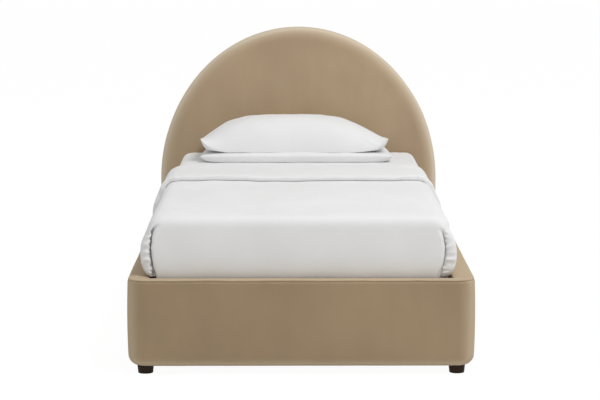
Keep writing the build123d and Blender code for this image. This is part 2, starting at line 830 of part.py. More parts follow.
with BuildPart() as tube_end_caps:
    for end_y, outward in ((platform_foot_y, 1), (platform_head_y, -1)):
        with BuildSketch(across(end_y)):
            with Locations((side_tube_x, tube_middle_z)):
                Rectangle(tube_width, tube_height)
        extrude(amount=outward * cap_thickness)
        with BuildSketch(across(end_y)):
            with Locations((side_tube_x, tube_middle_z)):
                Rectangle(
                    tube_width - 2 * tube_wall - 2 * piston_clearance,
                    tube_height - 2 * tube_wall - 2 * piston_clearance,
                )
        extrude(amount=-outward * tube_width / 2)
    mirror(about=Plane.YZ)
save(tube_end_caps.part, "tube_end_caps")

# Slats, gently bowed, with their ends in holders on the side tubes
slat_half_length = platform_side_x - slat_end_gap
slat_pitch = (platform_length - 2 * slat_first) / (slat_count - 1)
slat_places = [platform_foot_y + slat_first + number * slat_pitch for number in range(slat_count)]
with BuildPart() as slats:
    for slat_y in slat_places:
        with BuildSketch(across(slat_y - slat_width / 2)):
            with BuildLine():
                lower = ThreePointArc(
                    (-slat_half_length, slat_bottom),
                    (0, slat_bottom + slat_rise),
                    (slat_half_length, slat_bottom),
                )
                upper = ThreePointArc(
                    (-slat_half_length, slat_bottom + slat_thickness),
                    (0, slat_bottom + slat_thickness + slat_rise),
                    (slat_half_length, slat_bottom + slat_thickness),
                )
                Line(lower @ 0, upper @ 0)
                Line(lower @ 1, upper @ 1)
            make_face()
        extrude(amount=-slat_width)
save(slats.part, "slats")

holder_x = platform_side_x - holder_lap / 2
holder_height = holder_base + slat_thickness + slat_rise
with BuildPart() as slat_holders:
    with BuildSketch(Plane.XY.offset(tube_top)):
        for slat_y in slat_places:
            with Locations((holder_x, slat_y)):
                Rectangle(holder_lap, slat_width + 2 * holder_lip)
    extrude(amount=holder_height)
    with BuildSketch(Plane.XY.offset(slat_bottom - holder_clearance / 2)):
        for slat_y in slat_places:
            with Locations((slat_half_length + holder_clearance - holder_lap, slat_y)):
                Rectangle(2 * holder_lap, slat_width + 2 * holder_clearance)
    extrude(amount=slat_thickness + 2 * holder_clearance, mode=Mode.SUBTRACT)
    mirror(about=Plane.YZ)
save(slat_holders.part, "slat_holders")

# Webbing strap at the foot end, for lifting the platform by hand
strap_out_y = platform_foot_y - strap_reach
strap_low = tube_middle_z - strap_seam / 2
strap_high = tube_middle_z + strap_seam / 2
with BuildPart() as lift_strap:
    with BuildSketch(along(-strap_width / 2)):
        with BuildLine():
            Polyline(
                (platform_foot_y, strap_low),
                (platform_foot_y, strap_high),
                (strap_out_y, strap_high + strap_reach),
                (strap_out_y, rail_top - rail_inner_radius - strap_thickness),
                (strap_out_y - strap_thickness, rail_top - rail_inner_radius - strap_thickness),
                (strap_out_y - strap_thickness, strap_high + strap_reach - strap_thickness),
                (platform_foot_y - strap_thickness, strap_high - strap_thickness),
                (platform_foot_y - strap_thickness, strap_low),
                close=True,
            )
        make_face()
    extrude(amount=strap_width)
save(lift_strap.part, "lift_strap")

# Mattress and fitted sheet
with BuildPart() as mattress:
    with BuildSketch(Plane.XY.offset(mattress_bottom)):
        with Locations((0, mattress_middle_y)):
            RectangleRounded(mattress_width, mattress_length, mattress_corner_radius)
    extrude(amount=mattress_thickness)
    fillet(mattress.edges().group_by(Axis.Z)[0], radius=mattress_edge_radius)
    fillet(mattress.edges().group_by(Axis.Z)[-1], radius=mattress_edge_radius)
save(mattress.part, "mattress")

sheet_bottom = mattress_bottom + mattress_edge_radius
sheet_top = mattress_top + sheet_thickness
with BuildPart() as fitted_sheet:
    with BuildSketch(Plane.XY.offset(sheet_bottom)):
        with Locations((0, mattress_middle_y)):
            RectangleRounded(
                mattress_width + 2 * sheet_thickness,
                mattress_length + 2 * sheet_thickness,
                mattress_corner_radius + sheet_thickness,
            )
    extrude(amount=sheet_top - sheet_bottom)
    fillet(fitted_sheet.edges().group_by(Axis.Z)[-1], radius=mattress_edge_radius + sheet_thickness)
    add(mattress.part, mode=Mode.SUBTRACT)
save(fitted_sheet.part, "fitted_sheet")

# Cover: a shell over the mattress, tucked in at the foot and turned back near the pillows
lining_foot_y = mattress_foot_y - sheet_thickness - soft_clearance
lining_side_x = mattress_width / 2 + sheet_thickness + soft_clearance
lining_top = sheet_top + soft_clearance
duvet_bottom = rail_top + duvet_hem_gap
duvet_head_y = headboard_front_y - duvet_head_from_headboard
duvet_foot_y = lining_foot_y - duvet_foot
duvet_side_x = lining_side_x + duvet_side
duvet_top_z = lining_top + duvet_top
band_foot_y = duvet_head_y - band_length


def foot_rounded_box(half_width, foot_y, head_y, low, high, corner_radius, edge_radius):
    """Box along the bed with its foot corners and its top side and foot edges rounded."""
    with BuildPart(mode=Mode.PRIVATE) as box:
        with BuildSketch(Plane.XY.offset(low)):
            with Locations((0, (foot_y + head_y) / 2)):
                Rectangle(2 * half_width, head_y - foot_y)
        extrude(amount=high - low)
        if corner_radius:
            fillet(box.edges().filter_by(Axis.Z).group_by(Axis.Y)[0], radius=corner_radius)
            top_edges = box.edges().group_by(Axis.Z)[-1]
            fillet(top_edges - [top_edges.sort_by(Axis.Y)[-1]], radius=edge_radius)
        else:
            fillet(box.edges().group_by(Axis.Z)[-1].filter_by(Axis.Y), radius=edge_radius)
    return box.part


duvet_body = foot_rounded_box(
    duvet_side_x,
    duvet_foot_y,
    duvet_head_y,
    duvet_bottom,
    duvet_top_z,
    duvet_corner_radius,
    duvet_edge_radius,
)
band_body = foot_rounded_box(
    duvet_side_x + band_side,
    band_foot_y,
    duvet_head_y,
    duvet_bottom + band_hem_rise,
    duvet_top_z + band_top,
    0,
    duvet_edge_radius + band_side,
)
duvet_lining = foot_rounded_box(
    lining_side_x,
    lining_foot_y,
    headboard_front_y,
    foot_height,
    lining_top,
    mattress_corner_radius,
    mattress_edge_radius,
)
with BuildPart() as duvet:
    add(duvet_body)
    add(band_body)
    add(duvet_lining, mode=Mode.SUBTRACT)
    with BuildSketch(Plane.XY.offset(duvet_bottom - duvet_flap_drop)):
        with Locations((0, lining_foot_y - duvet_flap / 2)):
            Rectangle(mattress_width - 2 * mattress_corner_radius, duvet_flap)
    extrude(amount=duvet_flap_drop)
save(duvet.part, "duvet")


def pillow(size, seam_rise, shift, head_gap, low):
    """Pillow with a seam round it: a crown above the seam and a flatter belly below it."""
    width, depth, height = size
    middle = (shift, headboard_front_y - head_gap - depth / 2)
    crown = height - seam_rise
    rise_share, inset_share = pillow_shoulder_shares
    crown_inset = pillow_crown_share * crown
    sections = (
        (seam_rise + rise_share * crown, inset_share * crown_inset),
        (height, crown_inset),
    )
    with BuildPart(mode=Mode.PRIVATE) as cushion:
        with BuildSketch(Plane.XY.offset(low)):
            with Locations(middle):
                RectangleRounded(
                    width - 2 * pillow_underside_share * seam_rise,
                    depth - 2 * pillow_underside_share * seam_rise,
                    pillow_corner_radius,
                )
        with BuildSketch(Plane.XY.offset(low + seam_rise)):
            with Locations(middle):
                RectangleRounded(width, depth, pillow_corner_radius)
        loft()
        with BuildSketch(Plane.XY.offset(low + seam_rise)):
            with Locations(middle):
                RectangleRounded(width, depth, pillow_corner_radius)
        for rise, inset in sections:
            with BuildSketch(Plane.XY.offset(low + rise)):
                with Locations(middle):
                    RectangleRounded(width - 2 * inset, depth - 2 * inset, pillow_corner_radius)
        loft()
    return cushion.part


lower_pillow_bottom = sheet_top + soft_clearance
upper_pillow_bottom = lower_pillow_bottom + lower_pillow_size[2] + soft_clearance
lower_pillow = pillow(
    lower_pillow_size,
    lower_pillow_seam,
    lower_pillow_shift,
    lower_pillow_head_gap,
    lower_pillow_bottom,
)
save(lower_pillow, "lower_pillow")
upper_pillow = pillow(
    upper_pillow_size,
    upper_pillow_seam,
    upper_pillow_shift,
    upper_pillow_head_gap,
    upper_pillow_bottom,
)
save(upper_pillow, "upper_pillow")
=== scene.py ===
"""Dresses the storage platform bed: velvet padding, made-up bedding, lift, storage box and studio.

Metres, +Z up, the foot end towards -Y. Every piece is built where it stands, in the bed's own frame.
"""

import logging
import math
from dataclasses import dataclass
from enum import Enum

import bmesh
import bpy
import numpy as np
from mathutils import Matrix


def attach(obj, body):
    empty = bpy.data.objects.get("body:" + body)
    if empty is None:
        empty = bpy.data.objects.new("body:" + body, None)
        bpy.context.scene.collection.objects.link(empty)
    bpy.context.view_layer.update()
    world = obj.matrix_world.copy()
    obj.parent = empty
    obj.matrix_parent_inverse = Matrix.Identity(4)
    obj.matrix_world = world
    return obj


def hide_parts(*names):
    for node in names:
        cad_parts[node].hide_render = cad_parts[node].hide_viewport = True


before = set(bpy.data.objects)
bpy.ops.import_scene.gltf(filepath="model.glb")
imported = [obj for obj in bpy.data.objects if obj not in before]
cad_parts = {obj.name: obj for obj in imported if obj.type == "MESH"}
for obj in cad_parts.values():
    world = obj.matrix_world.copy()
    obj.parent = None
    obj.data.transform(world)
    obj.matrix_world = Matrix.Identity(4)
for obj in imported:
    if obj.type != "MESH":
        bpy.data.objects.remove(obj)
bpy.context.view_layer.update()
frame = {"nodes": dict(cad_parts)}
LOG = logging.getLogger("bed")
# A millimetre, the widest gap that is closed, waves in one relief, and points along a pillow's side.
MM = 0.001
MERGE_DISTANCE = 1e-6
WAVES = 12
PILLOW_POINTS = 131
Array = np.ndarray
Colour = tuple[int, int, int]


# Numbers and curves


def eased(value: Array, low: float, high: float) -> Array:
    """Smooth step: 0 below low, 1 above high, and 3t^2 - 2t^3 between.

    Args:
        value: Numbers to map.
        low: Where the step starts.
        high: Where it ends.

    Returns:
        Numbers from 0 to 1, in the shape of value.
    """
    t = np.clip((value - low) / (high - low), 0.0, 1.0)
    return t * t * (3.0 - 2.0 * t)


def bell(value: Array, middle: float, width: float) -> Array:
    """Bump of height 1 about a middle: e to the minus square of the distance over the width."""
    return np.exp(-(((value - middle) / width) ** 2))


def stacked(*parts: Array | float) -> Array:
    """Stack numbers along a new last axis, each first spread over the shape they share."""
    return np.stack(np.broadcast_arrays(*parts), -1)


def quarter(count: int) -> tuple[Array, Array]:
    """Quarter circle of radius 1, as its distances from the two sides of its square.

    Args:
        count: Points, the start left out.

    Returns:
        One minus the sine, which falls to 0, and one minus the cosine, which climbs to 1.
    """
    turn = np.linspace(0.0, np.pi / 2, count + 1)[1:]
    return 1 - np.sin(turn), 1 - np.cos(turn)


@dataclass(frozen=True)
class Relief:
    """Soft random relief from sine waves in random directions near one wavelength.

    The waves are added up and divided by the square root of their number.
    """

    height: float
    wavelength: float
    seed: int
    stretch: tuple[float, ...] = (1.0,)

    def at(self, points: Array) -> Array:
        """Work out the relief, which is up to about its own height either way.

        Args:
            points: Places, with 1 to 3 coordinates on the last axis.

        Returns:
            Heights in metres, one a place.
        """
        rng = np.random.default_rng(self.seed)
        direction = rng.normal(size=(WAVES, points.shape[-1]))
        direction /= np.linalg.norm(direction, axis=1, keepdims=True)
        number = 2.0 * np.pi / self.wavelength * rng.uniform(0.65, 1.5, (WAVES, 1))
        phase = rng.uniform(0.0, 2.0 * np.pi, WAVES)
        angle = (points * np.array(self.stretch)) @ (direction * number).T + phase
        return self.height * (np.sin(angle).sum(-1) / math.sqrt(WAVES))


def uneven(points: Array, reliefs: tuple[Relief, ...]) -> Array:
    """Add up several reliefs at the same places."""
    return sum(relief.at(points) for relief in reliefs)


def spline_weights(keys: int, samples: Array) -> Array:
    """Uniform cubic B-spline weights of a curve that starts and ends at its end keys.

    The key that is missing beyond each end is the next one mirrored through the end key.

    Args:
        keys: Number of control keys.
        samples: Places along the keys, from 0 to keys - 1.

    Returns:
        One row of weights a sample, one column a key.
    """
    place = np.clip(np.asarray(samples, float), 0.0, keys - 1 - 1e-9)
    span = np.floor(place).astype(int)
    t = (place - span)[:, None]
    cubics = [(1 - t) ** 3, 3 * t**3 - 6 * t**2 + 4, -3 * t**3 + 3 * t**2 + 3 * t + 1, t**3]
    basis = np.concatenate(cubics, axis=1) / 6.0
    weights = np.zeros((len(place), keys + 4))
    rows = np.arange(len(place))
    for step in range(4):
        weights[rows, span + step + 1] += basis[:, step]
    before, after = weights[:, 1], weights[:, keys + 2]
    inner = weights[:, 2 : keys + 2].copy()
    inner[:, 0] += 2 * before
    inner[:, 1] -= before
    inner[:, -1] += 2 * after
    inner[:, -2] -= after
    return inner


def spaced(stops: list[tuple[float, float]], step: float) -> Array:
    """Numbers from the first stop to the last, with a spacing that each run gives.

    Args:
        stops: Pairs of a place and the share of step to use up to the next place.
        step: Widest spacing.

    Returns:
        Rising numbers, both ends included.
    """
    runs = []
    for (start, share), (end, _) in zip(stops, stops[1:]):
        count = max(1, round((end - start) / (step * share)))
        runs.append(np.linspace(start, end, count, endpoint=False))
    return np.append(np.concatenate(runs), stops[-1][0])


def along_curve(points: Array) -> Array:
    """Distance along each row of points, from its first.

    Args:
        points: Rows of points, shape (..., count, dimensions).

    Returns:
        Distances, shape (..., count).
    """
    steps = np.linalg.norm(np.diff(points, axis=-2), axis=-1)
    start = np.zeros(steps.shape[:-1] + (1,))
    return np.concatenate([start, np.cumsum(steps, axis=-1)], axis=-1)


def surface_normals(points: Array) -> Array:
    """Unit normals of a grid of points, from the cross product of its two central differences.

    Args:
        points: Grid, shape (rows, columns, 3).

    Returns:
        Normals in the same shape.
    """
    across = np.gradient(points, axis=1)
    down = np.gradient(points, axis=0)
    normal = np.cross(across, down)
    return normal / np.maximum(np.linalg.norm(normal, axis=-1, keepdims=True), 1e-12)


class Shell:
    """Collects grids of points into one mesh."""

    def __init__(self) -> None:
        """Start with nothing in it."""
        self.points: list[Array] = []
        self.faces: list[Array] = []
        self.uvs: list[Array] = []
        self.count = 0

    def grid(self, points: Array, wrap: bool = False) -> "Shell":
        """Add one grid of quads, with its UV map in metres along the surface.

        Args:
            points: Shape (rows, columns, 3).
            wrap: Whether the last column joins the first.

        Returns:
            This shell.
        """
        if wrap:
            points = np.concatenate([points, points[:, :1]], axis=1)
        rows, columns = points.shape[:2]
        u = along_curve(points).mean(axis=0)
        v = along_curve(points.transpose(1, 0, 2)).mean(axis=0)
        uv = stacked(*np.meshgrid(u, v)).reshape(-1, 2)
        index = np.arange(rows * columns).reshape(rows, columns)
        corners = [index[:-1, :-1], index[:-1, 1:], index[1:, 1:], index[1:, :-1]]
        quads = np.stack(corners, axis=-1).reshape(-1, 4)
        self.points.append(points.reshape(-1, 3))
        self.faces.append(quads + self.count)
        self.uvs.append(uv[quads.ravel()])
        self.count += rows * columns
        return self

    def piece(self, name: str, close: bool = True) -> bpy.types.Object:
        """Make the object: merge shared edges, close open ends and turn the faces outwards.

        Args:
            name: Name of the object.
            close: Whether open ends get a face.

        Returns:
            The new object, linked to the scene.
        """
        mesh = bpy.data.meshes.new(name)
        quads = np.concatenate(self.faces)
        mesh.from_pydata(np.concatenate(self.points).tolist(), [], quads.tolist())
        layer = mesh.uv_layers.new(name="UVMap")
        layer.data.foreach_set("uv", np.concatenate(self.uvs).astype(np.float32).ravel())
        body = bmesh.new()
        body.from_mesh(mesh)
        bmesh.ops.remove_doubles(body, verts=body.verts, dist=MERGE_DISTANCE)
        bmesh.ops.dissolve_degenerate(body, edges=body.edges, dist=MERGE_DISTANCE / 10)
        if close:
            open_edges = [edge for edge in body.edges if edge.is_boundary]
            bmesh.ops.holes_fill(body, edges=open_edges, sides=0)
        bmesh.ops.recalc_face_normals(body, faces=body.faces)
        body.to_mesh(mesh)
        body.free()
        mesh.polygons.foreach_set("use_smooth", [True] * len(mesh.polygons))
        made = bpy.data.objects.new(name, mesh)
        bpy.context.scene.collection.objects.link(made)
        return made


# Shader nodes and finishes


def linear(colour: Colour) -> tuple[float, float, float, float]:
    """Turn a screen colour into the linear one that shaders use.

    Args:
        colour: Red, green and blue from 0 to 255.

    Returns:
        The same from 0 to 1, with full opacity.
    """
    share = np.asarray(colour, float) / 255.0
    value = np.where(share <= 0.04045, share / 12.92, ((share + 0.055) / 1.055) ** 2.4)
    return (float(value[0]), float(value[1]), float(value[2]), 1.0)


class Tree:
    """Adds and links nodes in one shader tree."""

    def __init__(self, tree: bpy.types.NodeTree) -> None:
        """Keep the tree to work on."""
        self.tree = tree

    @classmethod
    def of(cls, owner: bpy.types.ID) -> "Tree":
        """Empty the node tree of a material or a world.

        Args:
            owner: The material or world.

        Returns:
            Its tree.
        """
        owner.use_nodes = True
        owner.node_tree.nodes.clear()
        return cls(owner.node_tree)

    def feed(self, node: bpy.types.Node, inputs: dict) -> None:
        """Set a node's inputs.

        Args:
            node: The node.
            inputs: Socket name or number to a value, or to an output socket to link.
        """
        for key, value in inputs.items():
            if isinstance(value, bpy.types.NodeSocket):
                self.tree.links.new(value, node.inputs[key])
            else:
                node.inputs[key].default_value = value

    def node(self, kind: str, inputs: dict | None = None, **settings: object) -> bpy.types.Node:
        """Add a node.

        Args:
            kind: Node type, without the word ShaderNode before it.
            inputs: Its inputs, as feed takes them.
            settings: Properties of the node itself.

        Returns:
            The node.
        """
        made = self.tree.nodes.new("ShaderNode" + kind)
        for key, value in settings.items():
            setattr(made, key, value)
        self.feed(made, inputs or {})
        return made

    def math(self, operation: str, *values: object) -> bpy.types.NodeSocket:
        """Add a Math node on values or sockets and return its result."""
        return self.node("Math", dict(enumerate(values)), operation=operation).outputs[0]

    def mapped(
        self, value: object, low: float, high: float, to_low: float, to_high: float
    ) -> bpy.types.NodeSocket:
        """Map a value from one range to another, held at its ends, and return the result."""
        inputs = {"Value": value, "From Min": low, "From Max": high, "To Min": to_low, "To Max": to_high}
        return self.node("MapRange", inputs).outputs[0]

    def mix(self, factor: object, first: object, second: object) -> bpy.types.NodeSocket:
        """Mix two colours by a factor and return the result."""
        return self.node("Mix", {0: factor, 6: first, 7: second}, data_type="RGBA").outputs[2]

    def noise(self, place: object, scale: object, detail: float) -> bpy.types.NodeSocket:
        """Add a noise texture and return its value."""
        return self.node("TexNoise", {"Vector": place, "Scale": scale, "Detail": detail}).outputs[0]

    def stretched(self, place: object, scale: tuple[float, float, float]) -> bpy.types.NodeSocket:
        """Stretch coordinates by a Mapping node and return them."""
        return self.node("Mapping", {"Vector": place, "Scale": scale}).outputs[0]

    def bump(self, height: object, depth: float, strength: float) -> bpy.types.NodeSocket:
        """Turn a height, whose value of 1 is depth metres, into a normal and return it."""
        return self.node("Bump", {"Height": height, "Distance": depth, "Strength": strength}).outputs[0]

    def group(self, name: str, inputs: dict) -> bpy.types.Node:
        """Place one of the shared groups, with its own values."""
        return self.node("Group", inputs, node_tree=bpy.data.node_groups[name])

    def seen_directly(self) -> bpy.types.NodeSocket:
        """Tell the camera's own rays, and those through glass or off gloss, from all others.

        Returns:
            Socket that gives 1 for them, and 0 for the rest.
        """
        path = self.node("LightPath").outputs
        seen = self.math("MAXIMUM", path["Is Camera Ray"], path["Is Transmission Ray"])
        return self.math("MAXIMUM", seen, path["Is Glossy Ray"])


def new_group(
    name: str, inputs: dict[str, str], outputs: dict[str, str]
) -> tuple[Tree, dict, bpy.types.Node]:
    """Make an empty shader node group with named sockets.

    Args:
        name: Name of the group.
        inputs: Socket name to Float, Color or Vector.
        outputs: The same for what it puts out.

    Returns:
        The tree, its input sockets by name, and the output node to link to.
    """
    group = bpy.data.node_groups.new(name, "ShaderNodeTree")
    for side, sockets in (("INPUT", inputs), ("OUTPUT", outputs)):
        for socket, kind in sockets.items():
            group.interface.new_socket(socket, in_out=side, socket_type="NodeSocket" + kind)
    start = group.nodes.new("NodeGroupInput")
    end = group.nodes.new("NodeGroupOutput")
    return Tree(group), {socket.name: socket for socket in start.outputs}, end


class SharedEffects:
    """The node groups that several finishes place: nap, weave, grain and wear."""

    def build(self) -> None:
        """Make every group once."""
        self.nap()
        self.weave()
        self.grain()
        self.wear()

    def nap(self) -> None:
        """Pile that lies a little differently from place to place: wide clouds, streaks and fibres."""
        tree, given, end = new_group(
            "pile_nap",
            {"Vector": "Vector", "Colour": "Color", "Contrast": "Float"},
            {"Colour": "Color", "Roughness": "Float", "Height": "Float"},
        )
        clouds = tree.noise(given["Vector"], 2.6, 2.0)
        streaks = tree.noise(tree.stretched(given["Vector"], (9.0, 9.0, 3.0)), 1.6, 3.0)
        fibres = tree.noise(given["Vector"], 900.0, 2.0)
        tone = tree.mapped(clouds, 0.3, 0.7, -1.0, 1.0)
        tone = tree.math("ADD", tone, tree.mapped(streaks, 0.25, 0.75, -0.5, 0.5))
        tone = tree.math("ADD", tone, tree.mapped(fibres, 0.3, 0.7, -0.35, 0.35))
        value = tree.math("MULTIPLY_ADD", tone, given["Contrast"], 1.0)
        hue = tree.mapped(clouds, 0.3, 0.7, 0.496, 0.504)
        colour = tree.node("HueSaturation", {"Hue": hue, "Value": value, "Color": given["Colour"]})
        rough = tree.mapped(streaks, 0.2, 0.8, 0.78, 0.95)
        tree.feed(end, {"Colour": colour.outputs[0], "Roughness": rough, "Height": fibres})

    def weave(self) -> None:
        """Plain weave: product of two sine waves across the threads, uneven from thread to thread."""
        tree, given, end = new_group(
            "thread_weave",
            {"Vector": "Vector", "Threads": "Float"},
            {"Height": "Float", "Tone": "Float"},
        )
        inputs = {0: given["Vector"], "Scale": given["Threads"]}
        scaled = tree.node("VectorMath", inputs, operation="SCALE").outputs[0]
        parts = tree.node("SeparateXYZ", {0: scaled}).outputs
        warp, weft = (tree.math("SINE", tree.math("MULTIPLY", part, math.pi)) for part in parts[:2])
        product = tree.math("MULTIPLY", warp, weft)
        thickness = tree.noise(scaled, 0.35, 2.0)
        height = tree.math("MULTIPLY_ADD", product, 0.35, tree.math("MULTIPLY", thickness, 0.5))
        tree.feed(end, {"Height": height, "Tone": tree.mapped(thickness, 0.25, 0.75, -1.0, 1.0)})

    def grain(self) -> None:
        """Wood grain: fine fibres and wide bands, both stretched along the board."""
        tree, given, end = new_group(
            "wood_grain",
            {"Vector": "Vector", "Light": "Color", "Dark": "Color", "Bands": "Float"},
            {"Colour": "Color", "Roughness": "Float", "Height": "Float"},
        )
        warp = tree.node("TexNoise", {"Vector": given["Vector"], "Scale": 3.0, "Detail": 2.0}).outputs[1]
        bent = tree.node("VectorMath", {0: warp, "Scale": 0.35}, operation="SCALE").outputs[0]
        place = tree.node("VectorMath", {0: given["Vector"], 1: bent}, operation="ADD").outputs[0]
        inputs = {"Vector": place, "Scale": given["Bands"], "Distortion": 5.0, "Detail": 3.0}
        bands = tree.node("TexWave", inputs).outputs[1]
        fibres = tree.noise(given["Vector"], 60.0, 6.0)
        tone = tree.math("MULTIPLY_ADD", fibres, 0.6, tree.math("MULTIPLY", bands, 0.4))
        colour = tree.mix(tree.mapped(tone, 0.25, 0.8, 0.0, 1.0), given["Light"], given["Dark"])
        rough = tree.mapped(tone, 0.2, 0.8, 0.45, 0.7)
        tree.feed(end, {"Colour": colour, "Roughness": rough, "Height": fibres})

    def wear(self) -> None:
        """Handling marks: patchy scuffs and fine scratches, with a speckle for moulded or powder skins."""
        tree, given, end = new_group(
            "surface_wear",
            {"Vector": "Vector", "Grain": "Float"},
            {"Scuff": "Float", "Height": "Float"},
        )
        patches = tree.mapped(tree.noise(given["Vector"], 14.0, 5.0), 0.45, 0.7, 0.0, 1.0)
        scratches = tree.noise(tree.stretched(given["Vector"], (30.0, 400.0, 160.0)), 2.0, 2.0)
        speckle = tree.noise(given["Vector"], given["Grain"], 1.0)
        marks = tree.math("MULTIPLY", patches, tree.mapped(scratches, 0.5, 0.72, 0.2, 1.0))
        tree.feed(end, {"Scuff": marks, "Height": speckle})


@dataclass(frozen=True)
class Finish:
    """A named finish with one main colour."""

    name: str
    colour: Colour

    def material(self) -> bpy.types.Material:
        """Make the material on first use.

        Returns:
            The material.
        """
        made = bpy.data.materials.get(self.name)
        if made is None:
            made = bpy.data.materials.new(self.name)
            tree = Tree.of(made)
            shader = tree.node("BsdfPrincipled")
            tree.node("OutputMaterial", {0: shader.outputs[0]})
            self.dress(tree, shader)
            made.diffuse_color = linear(self.colour)
        return made

    def dress(self, tree: Tree, shader: bpy.types.Node) -> None:
        """Link this finish's own nodes to the shader.

        Args:
            tree: Tree of the material.
            shader: Its Principled BSDF.
        """
        raise NotImplementedError


@dataclass(frozen=True)
class Velvet(Finish):
    """Short-piled velvet with a painted sheen: darker face on, and painted paler at a grazing angle.

    The rim colour is a painted sheen. The base colour takes its share of it from the given facing value
    on.
    """

    # Paler colour of the painted sheen at a grazing angle, also the tint of the real sheen lobe.
    rim: Colour = (192, 174, 147)
    painted_sheen_share: float = 0.85
    painted_sheen_full: float = 0.36
    contrast: float = 0.065
    relief: float = 0.0004

    def dress(self, tree: Tree, shader: bpy.types.Node) -> None:
        """Nap clouds under a painted sheen in the base colour at grazing angles, and a real sheen lobe.

        Args:
            tree: Tree of the material.
            shader: Its Principled BSDF.
        """
        place = tree.node("TexCoord").outputs["Object"]
        inputs = {"Vector": place, "Colour": linear(self.colour), "Contrast": self.contrast}
        nap = tree.group("pile_nap", inputs).outputs
        facing = tree.node("LayerWeight", {"Blend": 0.5}).outputs["Facing"]
        # Painted sheen: share of the paler rim colour mixed into the base colour towards grazing angles.
        edge = tree.math("MULTIPLY", tree.mapped(facing, 0.0, self.painted_sheen_full, 0.0, 1.0), self.painted_sheen_share)
        tree.feed(shader, {
            # Base colour with the painted sheen mixed in.
            "Base Color": tree.mix(edge, nap["Colour"], linear(self.rim)),
            "Roughness": nap["Roughness"],
            "Sheen Weight": 0.35,
            "Sheen Roughness": 0.4,
            "Sheen Tint": linear(self.rim),
            "Specular IOR Level": 0.1,
            "Normal": tree.bump(nap["Height"], self.relief, 0.35),
        })


@dataclass(frozen=True)
class Woven(Finish):
    """Woven cloth with its threads on the piece's own UV map."""

    threads: float = 1800.0
    depth: float = 0.00025
    variation: float = 0.02
    roughness: float = 0.85
    sheen: float = 0.15

    def dress(self, tree: Tree, shader: bpy.types.Node) -> None:
        """Threads for relief, and a slow change of tone over the cloth.

        Args:
            tree: Tree of the material.
            shader: Its Principled BSDF.
        """
        place = tree.node("TexCoord").outputs
        weave = tree.group("thread_weave", {"Vector": place["UV"], "Threads": self.threads}).outputs
        slow = tree.noise(place["Object"], 5.0, 3.0)
        tone = tree.math("ADD", weave["Tone"], tree.mapped(slow, 0.3, 0.7, -1.0, 1.0))
        value = tree.math("MULTIPLY_ADD", tone, self.variation, 1.0)
        colour = tree.node("HueSaturation", {"Value": value, "Color": linear(self.colour)})
        tree.feed(shader, {
            "Base Color": colour.outputs[0],
            "Roughness": tree.mapped(slow, 0.2, 0.8, self.roughness - 0.06, self.roughness + 0.06),
            "Sheen Weight": self.sheen,
            "Sheen Roughness": 0.5,
            "Specular IOR Level": 0.25,
            "Normal": tree.bump(weave["Height"], self.depth, 0.5),
        })


@dataclass(frozen=True)
class Wood(Finish):
    """Bare wood with its grain along one axis."""

    dark: Colour
    stretch: tuple[float, float, float]
    bands: float
    relief: float = 0.0004

    def dress(self, tree: Tree, shader: bpy.types.Node) -> None:
        """Grain on stretched object coordinates.

        Args:
            tree: Tree of the material.
            shader: Its Principled BSDF.
        """
        inputs = {
            "Vector": tree.stretched(tree.node("TexCoord").outputs["Object"], self.stretch),
            "Light": linear(self.colour),
            "Dark": linear(self.dark),
            "Bands": self.bands,
        }
        grain = tree.group("wood_grain", inputs).outputs
        tree.feed(shader, {
            "Base Color": grain["Colour"],
            "Roughness": grain["Roughness"],
            "Normal": tree.bump(grain["Height"], self.relief, 0.4),
        })


@dataclass(frozen=True)
class Hard(Finish):
    """Painted, plated or moulded skin with speckle and scuffs."""

    worn: Colour
    roughness: float
    grain: float
    metallic: float = 0.0
    specular: float = 0.5
    relief: float = 0.00015

    def dress(self, tree: Tree, shader: bpy.types.Node) -> None:
        """Scuffs change colour and gloss, and speckle gives the skin its relief.

        Args:
            tree: Tree of the material.
            shader: Its Principled BSDF.
        """
        place = tree.node("TexCoord").outputs["Object"]
        wear = tree.group("surface_wear", {"Vector": place, "Grain": self.grain}).outputs
        scuffed = tree.math("MULTIPLY", wear["Scuff"], 0.7)
        rougher = min(1.0, self.roughness + 0.2)
        tree.feed(shader, {
            "Base Color": tree.mix(scuffed, linear(self.colour), linear(self.worn)),
            "Roughness": tree.mapped(wear["Scuff"], 0.0, 1.0, self.roughness, rougher),
            "Metallic": self.metallic,
            "Specular IOR Level": self.specular,
            "Normal": tree.bump(wear["Height"], self.relief, 0.4),
        })


GRAIN_ALONG = (1.0, 0.05, 1.0)
GRAIN_ACROSS = (0.05, 1.0, 1.0)
GRAIN_UPRIGHT = (1.0, 1.0, 0.06)
GRAIN_OF_SLATS = (0.04, 1.0, 1.0)
VELVET = Velvet("greige_velvet", (161, 139, 111))
# The rails' velvet with painted light: paler for the headboard, which stands in more light, and with a
# paler painted sheen.
PAINTED_LIT_ARCH_VELVET = Velvet("greige_velvet_painted_lit_arch", (177, 155, 127), rim=(220, 205, 182))
COTTON = Woven("white_percale", (237, 237, 237))
SHEETING = Woven("white_sheeting", (236, 236, 236))
TICKING = Woven("mattress_ticking", (222, 219, 212), threads=900.0, depth=0.0004, variation=0.03)
BACKING = Woven("black_back_cloth", (38, 37, 37), threads=700.0, depth=0.0004, variation=0.12, sheen=0.3)
WEBBING = Woven("strap_webbing", (52, 46, 40), threads=650.0, depth=0.0008, variation=0.1, sheen=0.3)
PLYWOOD = Wood("birch_plywood", (214, 184, 142), (178, 142, 98), GRAIN_ALONG, bands=5.0)
PANEL_PLY = Wood("headboard_plywood", (206, 174, 132), (170, 132, 90), GRAIN_UPRIGHT, bands=5.0)
PINE_ALONG = Wood("pine_along_bed", (216, 180, 128), (176, 128, 78), GRAIN_ALONG, bands=11.0)
PINE_ACROSS = Wood("pine_across_bed", (214, 178, 126), (174, 126, 76), GRAIN_ACROSS, bands=11.0)
